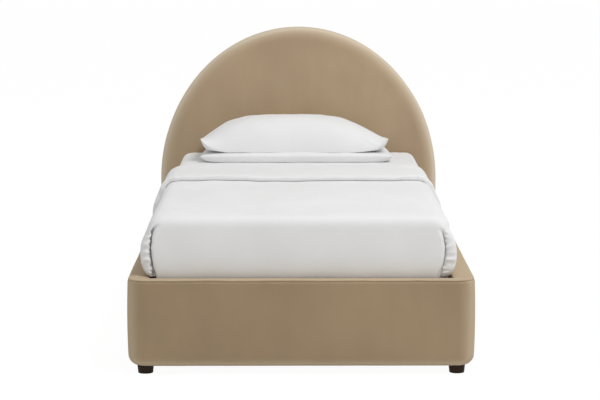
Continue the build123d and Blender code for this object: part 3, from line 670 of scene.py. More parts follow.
SLAT_WOOD = Wood("beech_slats", (220, 186, 142), (188, 146, 100), GRAIN_OF_SLATS, bands=16.0)
DARK_FOOT = Hard("dark_brown_foot", (40, 29, 19), (70, 54, 38), 0.6, grain=260.0, specular=0.15)
BLACK_PLASTIC = Hard("black_plastic", (28, 28, 29), (70, 70, 72), 0.5, grain=700.0)
RUBBER = Hard("black_rubber", (22, 22, 22), (60, 58, 56), 0.85, grain=350.0)
ZINC = Hard("zinc_plating", (196, 196, 192), (140, 138, 130), 0.32, grain=180.0, metallic=1.0)
PAINTED = Hard("black_powder_coat", (34, 34, 36), (96, 95, 92), 0.48, grain=1100.0)
ROD_STEEL = Hard("polished_rod", (210, 211, 214), (150, 150, 150), 0.16, grain=120.0, metallic=1.0)


class Body(Enum):
    """Bodies of the bed that pieces ride on."""

    FRAME = "frame"
    PLATFORM = "platform"


def mount(piece: bpy.types.Object, body: Body, finish: Finish, slot: str, *nodes: str) -> bpy.types.Object:
    """Give a finished piece its material, its body and the solids that it stands for.

    Args:
        piece: The piece, in place.
        body: Body that it rides on.
        finish: Its finish.
        slot: Name of the record's material slot; not used.
        nodes: Solids that it replaces.

    Returns:
        The piece.
    """
    piece.data.materials.append(finish.material())
    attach(piece, body.value)
    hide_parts(*nodes)
    return piece


def thicken(piece: bpy.types.Object, thickness: float, offset: float) -> None:
    """Give a sheet its thickness.

    Args:
        piece: The sheet.
        thickness: Its thickness.
        offset: 0 for half of it on each side, 1 for all of it outside.
    """
    solid = piece.modifiers.new("thickness", "SOLIDIFY")
    solid.thickness = thickness
    solid.offset = offset


# Padded frame


@dataclass
class Rails:
    """Foot rail and both side rails: a padded sleeve with a seam along its top edge."""

    half_width: float = 0.578
    thickness: float = 0.072
    foot_y: float = -1.050
    head_y: float = 0.950
    bottom: float = 0.025
    top: float = 0.316
    corner: float = 0.060
    bottom_roll: float = 0.036
    face_swell: float = 0.0024
    top_crown: float = 0.0046
    gather_reach: float = 0.013
    gather_inset: float = 0.02
    seam_drop: float = 0.0085
    inner_gap: float = 0.005
    heel: float = 0.0014
    relief_fade: tuple[float, float] = (0.03, 0.06)
    joint_fade: tuple[float, float] = (0.008, 0.05)
    unevenness: tuple[Relief, ...] = (Relief(0.0007, 0.22, 11), Relief(0.0003, 0.07, 12))
    pucker: Relief = Relief(0.00045, 0.013, 13)
    front_columns: int = 189
    side_step: float = 0.0075
    # The seam along the top edge, as inset from the outer face and height above the rail's top, and
    # the roll to the inner face, as distance from that face and the same height.
    seam: tuple[tuple[float, float], ...] = (
        (0.0006, -0.0062), (0.0018, -0.0040), (0.0036, -0.0024), (0.0034, -0.0014), (0.0038, -0.0006),
        (0.0034, 0.0002), (0.0022, 0.0010), (0.0026, 0.0024), (0.0046, 0.0034), (0.0080, 0.0038),
    )
    inner_roll: tuple[tuple[float, float], ...] = ((-0.0025, -0.0018), (-0.0008, -0.0036), (0.0, -0.0060))

    def section(self) -> tuple[Array, Array]:
        """Closed section of the sleeve as inset from the outer face, and height.

        A quarter circle at the bottom, a face that swells by a sine, a narrow groove for the seam, and
        a top band that is crowned and rolls down to the inner face.

        Returns:
            The section's points (inset, height), and how much each is gathered by the seam.
        """
        roll, low, high, depth = self.bottom_roll, self.bottom, self.top, self.thickness
        inner_edge = depth - self.inner_gap
        bottom = stacked(np.linspace(inner_edge, roll, 6), low)
        fall, climb = quarter(11)
        round_low = stacked(roll * fall, low + roll * climb)
        rise = np.linspace(0.0, 1.0, 34)[1:]
        face_top = high - self.seam_drop
        swell = -self.face_swell * np.sin(np.pi * np.clip(rise * 1.04, 0, 1)) ** 0.8
        face = stacked(swell, low + roll + rise * (face_top - low - roll))
        seam = np.array(self.seam) + np.array([0.0, high])
        start, crest = seam[-1]
        across = np.linspace(0.0, 1.0, 16)[1:]
        band = stacked(start + across * (inner_edge - start), crest - self.top_crown * across**2.2)
        inner = np.array(self.inner_roll) + np.array([depth, high])
        down = stacked(depth, np.linspace(high - 0.03, low + 0.006, 8))
        heel = np.array([[depth - self.heel, low + self.heel]])
        points = np.concatenate([bottom, round_low, face, seam, band, inner, down, heel])
        seam_side = points[:, 0] < self.gather_inset
        gather = np.exp(-np.abs(points[:, 1] - high) / self.gather_reach) * seam_side
        return points, gather

    def relief(self, place: Array, gather: Array, inset: Array) -> Array:
        """How far the padding stands out: slow unevenness, and small puckers beside the seam.

        Args:
            place: Points on the rail.
            gather: Share of the seam's pucker at each.
            inset: Their insets from the outer face.

        Returns:
            Outward distances in metres.
        """
        outer = 1.0 - eased(inset, *self.relief_fade)
        return outer * (uneven(place, self.unevenness) + self.pucker.at(place) * gather)

    def foot_rail(self) -> bpy.types.Object:
        """Carry the section round both corners of the foot end.

        Each point follows an offset of the outer outline: straight, a corner arc whose radius is the
        outline's less the inset, straight across, and back.

        Returns:
            The foot rail's cover.
        """
        section, gather = self.section()
        inset = section[:, 0][None, :]
        over = np.maximum(inset - self.corner, 0.0)
        radius = np.maximum(self.corner - inset, 0.0)
        centre_x = -self.half_width + self.corner + over
        centre_y = self.foot_y + self.corner + over
        back_y = self.foot_y + self.thickness
        height = section[:, 1]
        side = np.linspace(0.0, 1.0, 4)[:-1, None]
        angle = np.linspace(0.0, np.pi / 2, 22)[:, None]
        across = np.linspace(0.0, 1.0, self.front_columns)[1:-1, None]
        left = stacked(centre_x - radius, back_y + side * (centre_y - back_y), height)
        arc = stacked(centre_x - radius * np.cos(angle), centre_y - radius * np.sin(angle), height)
        front = stacked(centre_x * (1 - 2 * across), centre_y - radius, height)
        mirror = np.array([-1.0, 1.0, 1.0])
        points = np.concatenate([left, arc, front, (arc * mirror)[::-1], (left * mirror)[::-1]])
        out = self.relief(points, gather, inset) * self.settled(points)
        points = points + out[..., None] * self.outward(points)
        piece = Shell().grid(points[::-1], wrap=True).piece("foot_rail_padding")
        mount(piece, Body.FRAME, VELVET, "velvet", "foot_rail_cover")
        return piece

    def settled(self, points: Array) -> Array:
        """Share of the relief that stays near the joints: none within 8 mm of another piece.

        Args:
            points: Points on the rail.

        Returns:
            Shares from 0 to 1.
        """
        joint = np.abs(points[..., 1] - (self.foot_y + self.thickness))
        head = np.abs(points[..., 1] - self.head_y)
        return eased(np.minimum(joint, head), *self.joint_fade)

    def outward(self, points: Array) -> Array:
        """Direction from the rail's middle to each point of its outer side, in plan, or up on top.

        Args:
            points: Points on the rail.

        Returns:
            Unit directions in the same shape.
        """
        core_x = np.clip(points[..., 0], -self.half_width + self.corner, self.half_width - self.corner)
        core_y = np.maximum(points[..., 1], self.foot_y + self.corner)
        plan = stacked(points[..., 0] - core_x, points[..., 1] - core_y, 0.0)
        plan /= np.maximum(np.linalg.norm(plan, axis=-1, keepdims=True), 1e-9)
        up = eased(points[..., 2], self.top - 0.002, self.top + 0.003)[..., None]
        return plan * (1 - up) + np.array([0.0, 0.0, 1.0]) * up

    def side_rail(self, side: int) -> bpy.types.Object:
        """Carry the section straight from the foot rail to the headboard.

        Args:
            side: 1 for the right rail, -1 for the left one.

        Returns:
            The rail's cover.
        """
        section, gather = self.section()
        y = spaced([(self.foot_y + self.thickness, 1.0), (self.head_y, 1.0)], self.side_step)
        points = stacked(side * (self.half_width - section[:, 0]), y[:, None], section[:, 1])
        out = self.relief(points, gather, section[:, 0][None, :]) * self.settled(points)
        points = points + out[..., None] * self.outward(points)
        name = "right" if side > 0 else "left"
        piece = Shell().grid(points, wrap=True).piece(f"{name}_rail_padding")
        mount(piece, Body.FRAME, VELVET, "velvet", f"{name}_rail_cover")
        return piece

    def build(self) -> list[bpy.types.Object]:
        """Build all three rails."""
        return [self.foot_rail(), self.side_rail(-1), self.side_rail(1)]


@dataclass
class Headboard:
    """Arched headboard: padded front that rolls over to the side, and cloth on the back."""

    half_width: float = 0.595
    height: float = 1.045
    rise: float = 0.657
    bottom: float = 0.025
    front_y: float = 0.950
    back_y: float = 1.050
    roll: float = 0.056
    roll_depth: float = 0.042
    back_roll: float = 0.010
    rim: float = 0.0139
    ply_y: float = 0.978
    swell: float = 0.007
    foot_corner: float = 0.012
    middle: tuple[float, float] = (0.0, 0.46)
    swell_rise: tuple[float, float] = (0.56, 0.80)
    bare_rise: tuple[float, float] = (0.55, 0.62)
    cloth: float = 0.0007
    plain_back: float = 0.03
    cloth_inset: float = 0.0003
    cloth_recess: float = 0.0015
    turned_edge: float = 0.0006
    staple_start: float = 0.06
    staple_spacing: float = 0.045
    staple_pull: float = 0.0003
    pull_reach: float = 0.02
    unevenness: tuple[Relief, ...] = (Relief(0.0009, 0.26, 21), Relief(0.0003, 0.08, 22))

    def outline(self) -> tuple[Array, Array]:
        """Arch in the XZ plane: an upper half ellipse on two legs, with small arcs at the bottom.

        Returns:
            Points round the outline and their outward normals, both (count, 2).
        """
        spring = self.height - self.rise
        turn = np.linspace(0.0, np.pi, 260)
        arch = stacked(self.half_width * np.cos(turn), spring + self.rise * np.sin(turn))
        arch_normal = stacked(np.cos(turn) / self.half_width, np.sin(turn) / self.rise)
        corner = self.foot_corner
        left = stacked(-self.half_width, np.linspace(spring, self.bottom + corner, 34)[1:])
        fall, climb = quarter(6)
        low_left = stacked(-self.half_width + corner * climb, self.bottom + corner * fall)
        low_left_normal = stacked(climb - 1, fall - 1)
        edge = self.half_width - corner
        base = stacked(np.linspace(-edge, edge, 90)[1:-1], self.bottom)
        mirror = np.array([-1.0, 1.0])
        right = (left * mirror)[::-1][:-1]
        points = np.concatenate([arch, left, low_left, base, (low_left * mirror)[::-1], right])
        normals = np.concatenate(
            [
                arch_normal,
                np.broadcast_to([-1.0, 0.0], left.shape),
                low_left_normal,
                np.broadcast_to([0.0, -1.0], base.shape),
                (low_left_normal * mirror)[::-1],
                np.broadcast_to([1.0, 0.0], right.shape),
            ]
        )
        return points, normals / np.linalg.norm(normals, axis=1, keepdims=True)

    def rings(self) -> Array:
        """Insets and depths of the rings, from the front's middle over the roll to the back rim.

        Returns:
            Rows of (inset, y, share towards the middle).
        """
        roll, roll_depth, back_roll = self.roll, self.roll_depth, self.back_roll
        fall, climb = quarter(15)
        back_fall, back_climb = quarter(6)
        side_y = np.linspace(self.front_y + roll_depth, self.back_y - back_roll, 10)[1:]
        rows = [
            stacked(roll, self.front_y, np.linspace(1.0, 0.0, 34)[1:]),
            stacked(roll * fall, self.front_y + roll_depth * climb, 0.0),
            stacked(0.0, side_y, 0.0),
            stacked(back_roll * back_climb, self.back_y - back_roll * back_fall, 0.0),
            stacked(self.rim, np.array([self.back_y, self.ply_y]), 0.0),
            stacked(self.rim, self.ply_y, np.linspace(0.2, 0.99, 5)),
        ]
        return np.concatenate(rows)

    def mitred(self, plan: Array, inset: Array | float) -> Array:
        """Keep inset points clear of each other at the square bottom corners.

        Args:
            plan: Inset points of the outline.
            inset: How far each was moved in.

        Returns:
            The points, those beyond the mitre moved onto it.
        """
        reach = self.half_width - inset
        return stacked(np.clip(plan[..., 0], -reach, reach), np.maximum(plan[..., 1], self.bottom + inset))

    def build(self) -> list[bpy.types.Object]:
        """Build the padded arch and the cloth on its back.

        The front stands out by its swell, which fades towards the legs and the edge, and slow
        unevenness is added above the bedding.

        Returns:
            Both pieces.
        """
        outline, normal = self.outline()
        inset, depth, share = self.rings().T[..., None]
        flat = self.mitred(outline[None] - inset[..., None] * normal[None], inset)
        plan = flat + (np.array(self.middle) - flat) * share[..., None]
        front = depth <= self.front_y + 1e-9
        high = eased(plan[..., 1], *self.swell_rise)
        edge = 1 - eased(1 - share, 0.75, 1.0)
        y = depth - np.where(front, self.swell * high * edge, 0.0)
        points = stacked(plan[..., 0], y, plan[..., 1])
        slow = uneven(points, self.unevenness) * eased(points[..., 2], *self.bare_rise)
        skin = (depth < self.back_y - self.plain_back) & (inset < self.rim)
        lean = np.clip((depth - self.front_y) / self.roll_depth, 0, 1)[..., None]
        out = stacked(normal[:, 0], 0.0, normal[:, 1])
        direction = out * lean + np.array([0.0, -1.0, 0.0]) * (1 - lean)
        points = points + direction * (slow * (skin | front))[..., None]
        arch = Shell().grid(points, wrap=True).piece("headboard_padding")
        # Velvet with the headboard's extra light painted into its colour.
        mount(arch, Body.FRAME, PAINTED_LIT_ARCH_VELVET, "velvet", "headboard_cover")
        return [arch, self.back_cloth(outline, normal)]

    def back_cloth(self, outline: Array, normal: Array) -> bpy.types.Object:
        """Cloth stretched over the back, with a turned edge and small pulls between its staples.

        Args:
            outline: Points round the headboard.
            normal: Their outward normals.

        Returns:
            The cloth.
        """
        share = np.array([0.0, 0.004, 0.012, 0.03, 0.06, 0.12, 0.2, 0.3, 0.42, 0.55, 0.7, 0.85, 1.0])
        inset = self.rim + self.cloth_inset
        edge = self.mitred(outline - inset * normal, inset)
        plan = edge[None] + (np.array(self.middle) - edge)[None] * share[:, None, None]
        length = along_curve(outline[None])
        stapled = outline[:, 1] > self.bottom + self.staple_start
        staples = np.cos(2 * np.pi * length / self.staple_spacing) * stapled
        pull = self.staple_pull * staples * np.exp(-share / self.pull_reach)[:, None]
        fold = self.turned_edge * (1 - eased(share, 0.004, 0.02))[:, None]
        y = self.back_y - self.cloth_recess + fold + pull
        points = stacked(plan[..., 0], y, plan[..., 1])
        cloth = Shell().grid(points, wrap=True).piece("headboard_back_panel", close=False)
        thicken(cloth, self.cloth, 0.0)
        mount(cloth, Body.FRAME, BACKING, "back_cloth", "headboard_back_cloth")
        return cloth


# Mattress and bedding


def rounded_outline(
    half_width: float, foot_y: float, head_y: float, corner: float, step: float
) -> tuple[Array, Array]:
    """Rounded rectangle in plan, anticlockwise from the left end of its head side.

    Args:
        half_width: Half of its width.
        foot_y: Its foot side.
        head_y: Its head side.
        corner: Radius of its corners.
        step: Spacing on the straight sides.

    Returns:
        Points and outward normals, both (count, 2).
    """
    turns = np.linspace(0.0, np.pi / 2, 16)
    points, normals = [], []
    centres = (
        (-half_width + corner, head_y - corner, np.pi / 2),
        (-half_width + corner, foot_y + corner, np.pi),
        (half_width - corner, foot_y + corner, 1.5 * np.pi),
        (half_width - corner, head_y - corner, 0.0),
    )
    for number, (x, y, start) in enumerate(centres):
        ray = stacked(np.cos(start + turns), np.sin(start + turns))
        points.append(np.array([x, y]) + corner * ray)
        normals.append(ray)
        next_x, next_y, next_start = centres[(number + 1) % 4]
        end = np.array([next_x, next_y]) + corner * np.array([np.cos(next_start), np.sin(next_start)])
        last = points[-1][-1]
        count = max(2, round(np.linalg.norm(end - last) / step))
        points.append(last + np.linspace(0.0, 1.0, count + 1)[1:-1, None] * (end - last))
        normals.append(np.broadcast_to(ray[-1], points[-1].shape))
    return np.concatenate(points), np.concatenate(normals)


@dataclass
class Mattress:
    """Foam mattress with taped edges, and the fitted sheet over it."""

    half_width: float = 0.4953
    foot_y: float = -0.9648
    head_y: float = 0.9398
    bottom: float = 0.284
    top: float = 0.512
    corner: float = 0.058
    low_edge: float = 0.022
    top_edge: float = 0.034
    hem: float = 0.309
    tape: float = 0.00196
    line_reach: float = 0.4
    ease: float = 0.0008
    sheet_thickness: float = 0.0006
    gather_depth: float = 0.0011
    gather_height: float = 0.022
    fold_width: float = 0.0145
    fold_phase: Relief = Relief(3.0, 0.09, 31)
    corner_pull: Relief = Relief(0.0009, 0.028, 32)
    corner_reach: float = 0.13
    bare_fade: tuple[float, float] = (0.20, 0.32)
    covered_share: float = 0.15
    slack: Relief = Relief(0.0004, 0.16, 33)

    def ring_points(
        self, outline: Array, normal: Array, inset: Array, height: Array, share: Array
    ) -> Array:
        """Rings of the outline at given insets and heights, closed towards a line along the middle.

        Args:
            outline: Plan points.
            normal: Plan normals.
            inset: Inset of each ring.
            height: Height of each ring.
            share: Share of the way to the middle line of each ring.

        Returns:
            Grid of points, one row a ring.
        """
        flat = outline[None] - inset[:, None, None] * normal[None]
        low, high = self.foot_y + self.line_reach, self.head_y - self.line_reach
        line = stacked(0.0, np.clip(outline[:, 1], low, high))[None]
        plan = flat + (line - flat) * share[:, None, None]
        return stacked(plan[..., 0], plan[..., 1], height[:, None])

    def side(self, count: int, low: float) -> tuple[Array, Array]:
        """Inset and height up the side and over the top edge, as a straight and a quarter circle.

        Args:
            count: Points on the straight part.
            low: Where it starts.

        Returns:
            Insets and heights.
        """
        straight = np.linspace(low, self.top - self.top_edge, count)
        fall, climb = quarter(11)
        inset = np.concatenate([np.zeros(count), self.top_edge * climb])
        return inset, np.concatenate([straight, self.top - self.top_edge * fall])

    def pad(self) -> bpy.types.Object:
        """Build the mattress: a flat underside, a taped lower edge and a straight side.

        Returns:
            The mattress.
        """
        outline, normal = rounded_outline(self.half_width, self.foot_y, self.head_y, self.corner, 0.014)
        turn = np.linspace(0.0, np.pi / 2, 9)
        low_inset = self.low_edge * (1 - np.sin(turn)) - self.tape * bell(turn, 0.8, 0.16)
        low_height = self.bottom + self.low_edge * (1 - np.cos(turn))
        rings = [
            stacked(self.low_edge, self.bottom, np.linspace(1, 0, 8)[:-1]),
            stacked(low_inset, low_height, 0.0),
            stacked(*self.side(16, self.bottom + self.low_edge + 0.008), 0.0),
            stacked(self.top_edge, self.top, np.linspace(0, 1, 10)[1:]),
        ]
        points = self.ring_points(outline, normal, *np.concatenate(rings).T)
        piece = Shell().grid(points, wrap=True).piece("mattress_pad")
        mount(piece, Body.PLATFORM, TICKING, "mattress_cloth", "mattress")
        return piece

    def sheet(self) -> bpy.types.Object:
        """Build the fitted sheet: smooth on top, gathered into its elastic hem below.

        Returns:
            The sheet.
        """
        outline, normal = rounded_outline(self.half_width, self.foot_y, self.head_y, self.corner, 0.006)
        rings = [
            stacked(*self.side(26, self.hem), 0.0),
            stacked(self.top_edge, self.top, np.linspace(0, 1, 26)[1:]),
        ]
        inset, height, share = np.concatenate(rings).T
        points = self.ring_points(outline, normal, inset, height, share)
        length = along_curve(outline[None])
        z = points[..., 2]
        bare = eased(points[..., 1], *self.bare_fade)
        bare = self.covered_share + (1 - self.covered_share) * bare
        folds = 1 + np.sin(2 * np.pi * length / self.fold_width + self.fold_phase.at(points))
        gather = bare * self.gather_depth * np.exp(-(z - self.hem) / self.gather_height) * folds
        corner = np.hypot(np.abs(points[..., 0]) - self.half_width, points[..., 1] - self.head_y)
        plan = points[..., :2]
        pull = np.exp(-corner / self.corner_reach) * self.corner_pull.at(plan)
        slack = self.slack.height + self.slack.at(plan)
        top = bare * slack * eased(share, 0.0, 0.12)[:, None]
        steep = 1 - eased(z, self.top - self.top_edge, self.top)
        out = stacked(normal[:, 0], normal[:, 1], 0.0)
        points = points + out * (steep * (self.ease + gather))[..., None]
        points[..., 2] += (1 - steep) * (self.ease + top + np.maximum(pull, 0.0))
        piece = Shell().grid(points, wrap=True).piece("fitted_sheet_cloth", close=False)
        thicken(piece, self.sheet_thickness, 1.0)
        mount(piece, Body.PLATFORM, SHEETING, "white_cotton", "fitted_sheet")
        return piece

    def build(self) -> list[bpy.types.Object]:
        """Build the mattress and its sheet."""
        return [self.pad(), self.sheet()]


@dataclass
class Cover:
    """Quilted cover in its cotton case: tucked in at the foot, hanging at the sides, turned back."""

    half_width: float = 0.4955
    foot_y: float = -0.965
    head_y: float = 0.295
    shift: float = -0.0092
    mattress_corner: float = 0.058
    mattress_top: float = 0.5144
    crease_top: float = 0.488
    crease_fade: tuple[float, float] = (-0.016, 0.004)
    right_crease_drop: float = 0.016
    groove_start: float = 0.0055
    right_groove_loss: float = 0.42
    side_end: float = 0.075
    foot_end: float = 0.092
    mattress_edge: float = 0.034
    lip_spread: float = 0.0035
    lip_fade: tuple[float, float] = (0.318, 0.352)
    hanging_fade: tuple[float, float] = (0.492, 0.512)
    crown_fade: tuple[float, float] = (0.500, 0.517)
    edge_fade: float = 0.10
    lining_gap: float = 0.0020
    hem_slack: float = 0.0016
    lining_end: float = 0.045
    billows: tuple[Relief, ...] = (
        Relief(0.0020, 0.20, 41, (1.0, 1.0, 0.45)), Relief(0.0009, 0.075, 42, (1.0, 1.0, 0.5)),
    )
    crease_strip: Relief = Relief(0.0016, 0.024, 43, (0.25, 0.25, 1.0))
    foot_panel: tuple[Relief, ...] = (Relief(0.0005, 0.19, 45), Relief(0.0002, 0.07, 46))
    ruffles: tuple[Relief, ...] = (Relief(0.0026, 0.026, 47), Relief(0.0007, 0.012, 48))
    far_lip: Relief = Relief(0.0012, 0.045, 49)
    flutter: Relief = Relief(0.0014, 0.017, 50)
    loft: float = 0.0012
    swells: tuple[Relief, ...] = (Relief(0.0018, 0.42, 51), Relief(0.0006, 0.11, 52, (1.0, 0.6)))
    corner_pull: Relief = Relief(0.0008, 0.030, 53)
    pull_corner: tuple[float, float] = (0.45, -0.92)
    pull_reach: float = 0.10
    band_step: float = 0.008
    band_fade: tuple[float, float] = (0.500, 0.520)
    shoulder: tuple[float, float] = (0.43, 0.06)
    hem_reach: float = 0.03
    hem_drift: Relief = Relief(0.0022, 0.34, 61)
    hem_wander: Relief = Relief(0.0010, 0.055, 62)
    hem_pucker: Relief = Relief(0.0011, 0.014, 66)
    band_swells: tuple[Relief, ...] = (Relief(0.0012, 0.16, 63), Relief(0.0006, 0.05, 64, (1.0, 1.6)))
    band_foot: float = -0.078
    band_head: float = 0.302
    band_scale: float = 1.08
    band_levels: int = 15
    flat_half: float = 0.42
    flat_z: float = 0.5197
    side_columns: int = 26
    foot_columns: int = 12
    # Levels of the outer cloth from the top's rim down to the hem, in millimetres: how far it stands
    # off the mattress's side or foot plane, and its height.
    side_levels: tuple[tuple[float, float], ...] = (
        (-45, 519.6), (-30, 518.8), (-18, 515.5), (-8, 508.5), (-0.5, 499), (5, 487), (10, 473),
        (16.5, 458), (23, 444), (29, 429), (32.5, 411), (33.5, 391), (32.5, 371), (29.5, 353),
        (23.5, 338), (16.5, 327), (11, 321.5), (7.5, 320.2),
    )
    foot_levels: tuple[tuple[float, float], ...] = (
        (-45, 519.4), (-30, 519.0), (-16, 517.2), (-6, 513), (1.0, 505), (5, 495), (6.6, 483),
        (7.2, 470), (7.8, 455), (8.4, 438), (9, 420), (9.6, 400), (10.2, 380), (10.6, 360), (10.6, 341),
        (9.4, 325), (6, 309), (3.4, 300.5),
    )
    # Course of the crease in millimetres: height, and how far off the mattress's side it lies on the
    # left and on the right.
    crease_course: tuple[tuple[float, float, float], ...] = (
        (319, -14, -24), (345, -10, -16), (370, -6, -8), (395, -1, -4), (420, -2, -5), (448, -5, -10),
        (475, -8, -15), (490, -9, -17),
    )
    # Columns round a corner: share of the side's offset, across, along, share of the foot's height,
    # and across and along where the corner is plain. The four lengths are in millimetres.
    corner_keys: tuple[tuple[float, ...], ...] = (
        (1, 0, -62, 0, 0, -62), (1, 0, -43, 0, 0, -46), (1, -0.5, -28, 0, -1, -33),
        (1, -3, -16, 0, -3.5, -23), (1, -8.5, -8.5, 0.02, -7, -15), (0.5, 0, -5, 0.06, -11, -9.5),
        (0.15, 3.5, -4.5, 0.12, -15, -6), (0, 3.6, -9, 0.2, -19, -3.8), (0, 2.2, -19, 0.3, -23, -2.2),
        (0, 0.8, -33, 0.42, -27, -1.1), (0, -1.2, -33, 0.54, -31, -0.5), (0, -2.4, -19, 0.66, -36, 0),
        (0, -3.6, -6, 0.8, -42, 0), (0, -8, -0.8, 0.9, -48, 0), (0, -16, 0, 1, -56, 0),
        (0, -30, 0, 1, -66, 0), (0, -48, 0, 1, -80, 0),
    )

    def control(self, side: int, creased: bool) -> Array:
        """Control net of the outer cloth for one half of the bed, from its head end to mid foot.

        A level gives an offset from the mattress's side or foot plane and a height. Round the corner
        each column follows its row of corner_keys, pulled in along the crease by the depth there.

        Args:
            side: 1 for the right half, -1 for the left one.
            creased: Whether the corner has its crease, or is plainly rounded.

        Returns:
            Net of points, shape (levels, columns, 3).
        """
        across, side_z = (np.array(self.side_levels) * MM).T[..., None]
        along, foot_z = (np.array(self.foot_levels) * MM).T[..., None]
        keys = np.array(self.corner_keys).T
        share, blend = keys[0], keys[3]
        key_x, key_y, plain_x, plain_y = keys[[1, 2, 4, 5]] * MM
        z = side_z * (1 - blend) + foot_z * blend
        course = np.array(self.crease_course) * MM
        crease = np.interp(z, course[:, 0], course[:, 1 if side < 0 else 2])
        groove = np.minimum(key_y, -self.groove_start) + self.groove_start
        depth = key_y - groove * (0.0 if side < 0 else self.right_groove_loss)
        column = np.arange(len(share))
        lips = np.where(column < 10, 1.0, -1.0) * ((column > 5) & (column < 13))
        spread = (1 - eased(z, *self.lip_fade)) * self.lip_spread * lips
        face_x = across * share + crease * (1 - share) + key_x + spread
        face_y = along + depth
        top = self.crease_top if side < 0 else self.crease_top - self.right_crease_drop
        fade_low, fade_high = self.crease_fade
        amount = (1 - eased(z, top + fade_low, top + fade_high)) * float(creased)
        offset_x = (across + plain_x) * (1 - amount) + face_x * amount
        offset_y = (along + plain_y) * (1 - amount) + face_y * amount
        reach = self.foot_y + self.side_end + np.maximum(-along, 0.0)
        run = np.linspace(0.0, 1.0, self.side_columns)
        inner = -(self.half_width - self.foot_end + np.minimum(across, 0.0))
        rest = np.linspace(0.0, 1.0, self.foot_columns)
        parts = [
            stacked(-(self.half_width + across), self.head_y + (reach - self.head_y) * run, side_z),
            stacked(-(self.half_width + offset_x), self.foot_y - offset_y, z),
            stacked(inner * (1 - rest), self.foot_y - along, foot_z),
        ]
        return np.concatenate(parts, 1) * np.array([-float(side), 1.0, 1.0])

    def surface(self, creased: bool) -> tuple[Array, Array]:
        """Evaluate both halves' nets as one cubic B-spline surface, densely round the creases.

        Args:
            creased: Whether the corners have their creases.

        Returns:
            The grid of levels by perimeter, and the place of each column along one half.
        """
        left, right = self.control(-1, creased), self.control(1, creased)
        net = np.concatenate([left, right[:, ::-1][:, 1:]], 1)
        half, total = left.shape[1], net.shape[1]
        corner = float(self.side_columns)
        stops = [(0.0, 1.0), (corner, 0.55), (corner + 4, 0.45), (corner + 14, 0.6), (corner + 17, 1.0)]
        run = spaced(stops + [(half - 1.0, 1.0)], 0.32)
        place = np.concatenate([run, (total - 1) - run[::-1][1:]])
        rows = spaced([(0.0, 1.0), (4.0, 0.85), (len(net) - 1.0, 1.0)], 0.24)
        down, over = spline_weights(len(net), rows), spline_weights(total, place)
        grid = np.einsum("rl,lkc,sk->rsc", down, net, over)
        return grid, np.minimum(place, (total - 1) - place)

    def relief(self, grid: Array, place: Array) -> Array:
        """Soften the hanging cloth: slow billows on the sides, and a ruffled lip along each crease.

        Args:
            grid: Points of levels by perimeter.
            place: Place of each column along one half.

        Returns:
            The grid with its relief.
        """
        normal = surface_normals(grid)
        middle = grid.shape[1] // 2
        normal = normal * -np.sign(normal[len(grid) // 2, middle, 1])
        x, z = grid[..., 0], grid[..., 2]
        hanging = 1 - eased(z, *self.hanging_fade)
        creased = 1 - eased(z, self.crease_top - 0.03, self.crease_top)
        # Columns count from the corner's first. The near lip is at 6.5, and the far one at 12.
        column = place - self.side_columns
        side = 1 - eased(column, 2.0, 5.0)
        billow = uneven(grid, self.billows) * side
        strip = self.crease_strip.at(grid) * bell(column, 5.0, 2.2) * creased
        panel = uneven(grid, self.foot_panel) * eased(column, 13.0, 17.0)
        amount = hanging * (billow + strip + panel)
        moved = grid + normal * amount[..., None]
        height = z[..., None]
        lip, edge = bell(column, 6.5, 1.7), bell(column, 12.0, 1.6)
        ruffle = uneven(height, self.ruffles) * lip + self.far_lip.at(height) * edge
        moved[..., 0] += np.sign(x) * creased * hanging * ruffle
        moved[..., 1] -= creased * hanging * lip * self.flutter.at(height + 0.3)
        return moved

    def crown(self, x: Array, y: Array) -> Array:
        """Relief of the top: slow swells and a few faint pull lines.

        Args:
            x: Places across the bed.
            y: Places along it.

        Returns:
            Heights to add.
        """
        plan = stacked(x, y)
        swell = uneven(plan, self.swells) + self.loft
        corner_x, corner_y = self.pull_corner
        near = np.exp(-np.hypot(np.abs(x) - corner_x, y - corner_y) / self.pull_reach)
        pull = near * self.corner_pull.at(plan)
        beside, before = self.half_width - np.abs(x), y - self.foot_y
        free = eased(beside, 0.0, self.edge_fade) * eased(before, 0.0, self.edge_fade)
        return swell * free + pull * eased(before, 0.02, 0.06)

    def patch(self, ring: Array, corner: int) -> Array:
        """Fill the top inside a ring by a Coons patch: the two ruled surfaces less the bilinear one.

        Args:
            ring: Boundary from left head end round the foot to the right head end.
            corner: Columns up to the middle of the left corner.

        Returns:
            Grid of points.
        """
        left = ring[: corner + 1]
        foot = ring[corner : len(ring) - corner]
        right = ring[len(ring) - corner - 1 :][::-1]
        u, v = along_curve(foot[None])[0], along_curve(left[None])[0]
        u, v = (u / u[-1])[None, :, None], (v / v[-1])[:, None, None]
        head = left[0] * (1 - u[0]) + right[0] * u[0]
        ruled = (1 - v) * head[None] + v * foot[None] + (1 - u) * left[:, None] + u * right[:, None]
        bilinear = (1 - u) * ((1 - v) * left[0] + v * left[-1]) + u * ((1 - v) * right[0] + v * right[-1])
        return ruled - bilinear

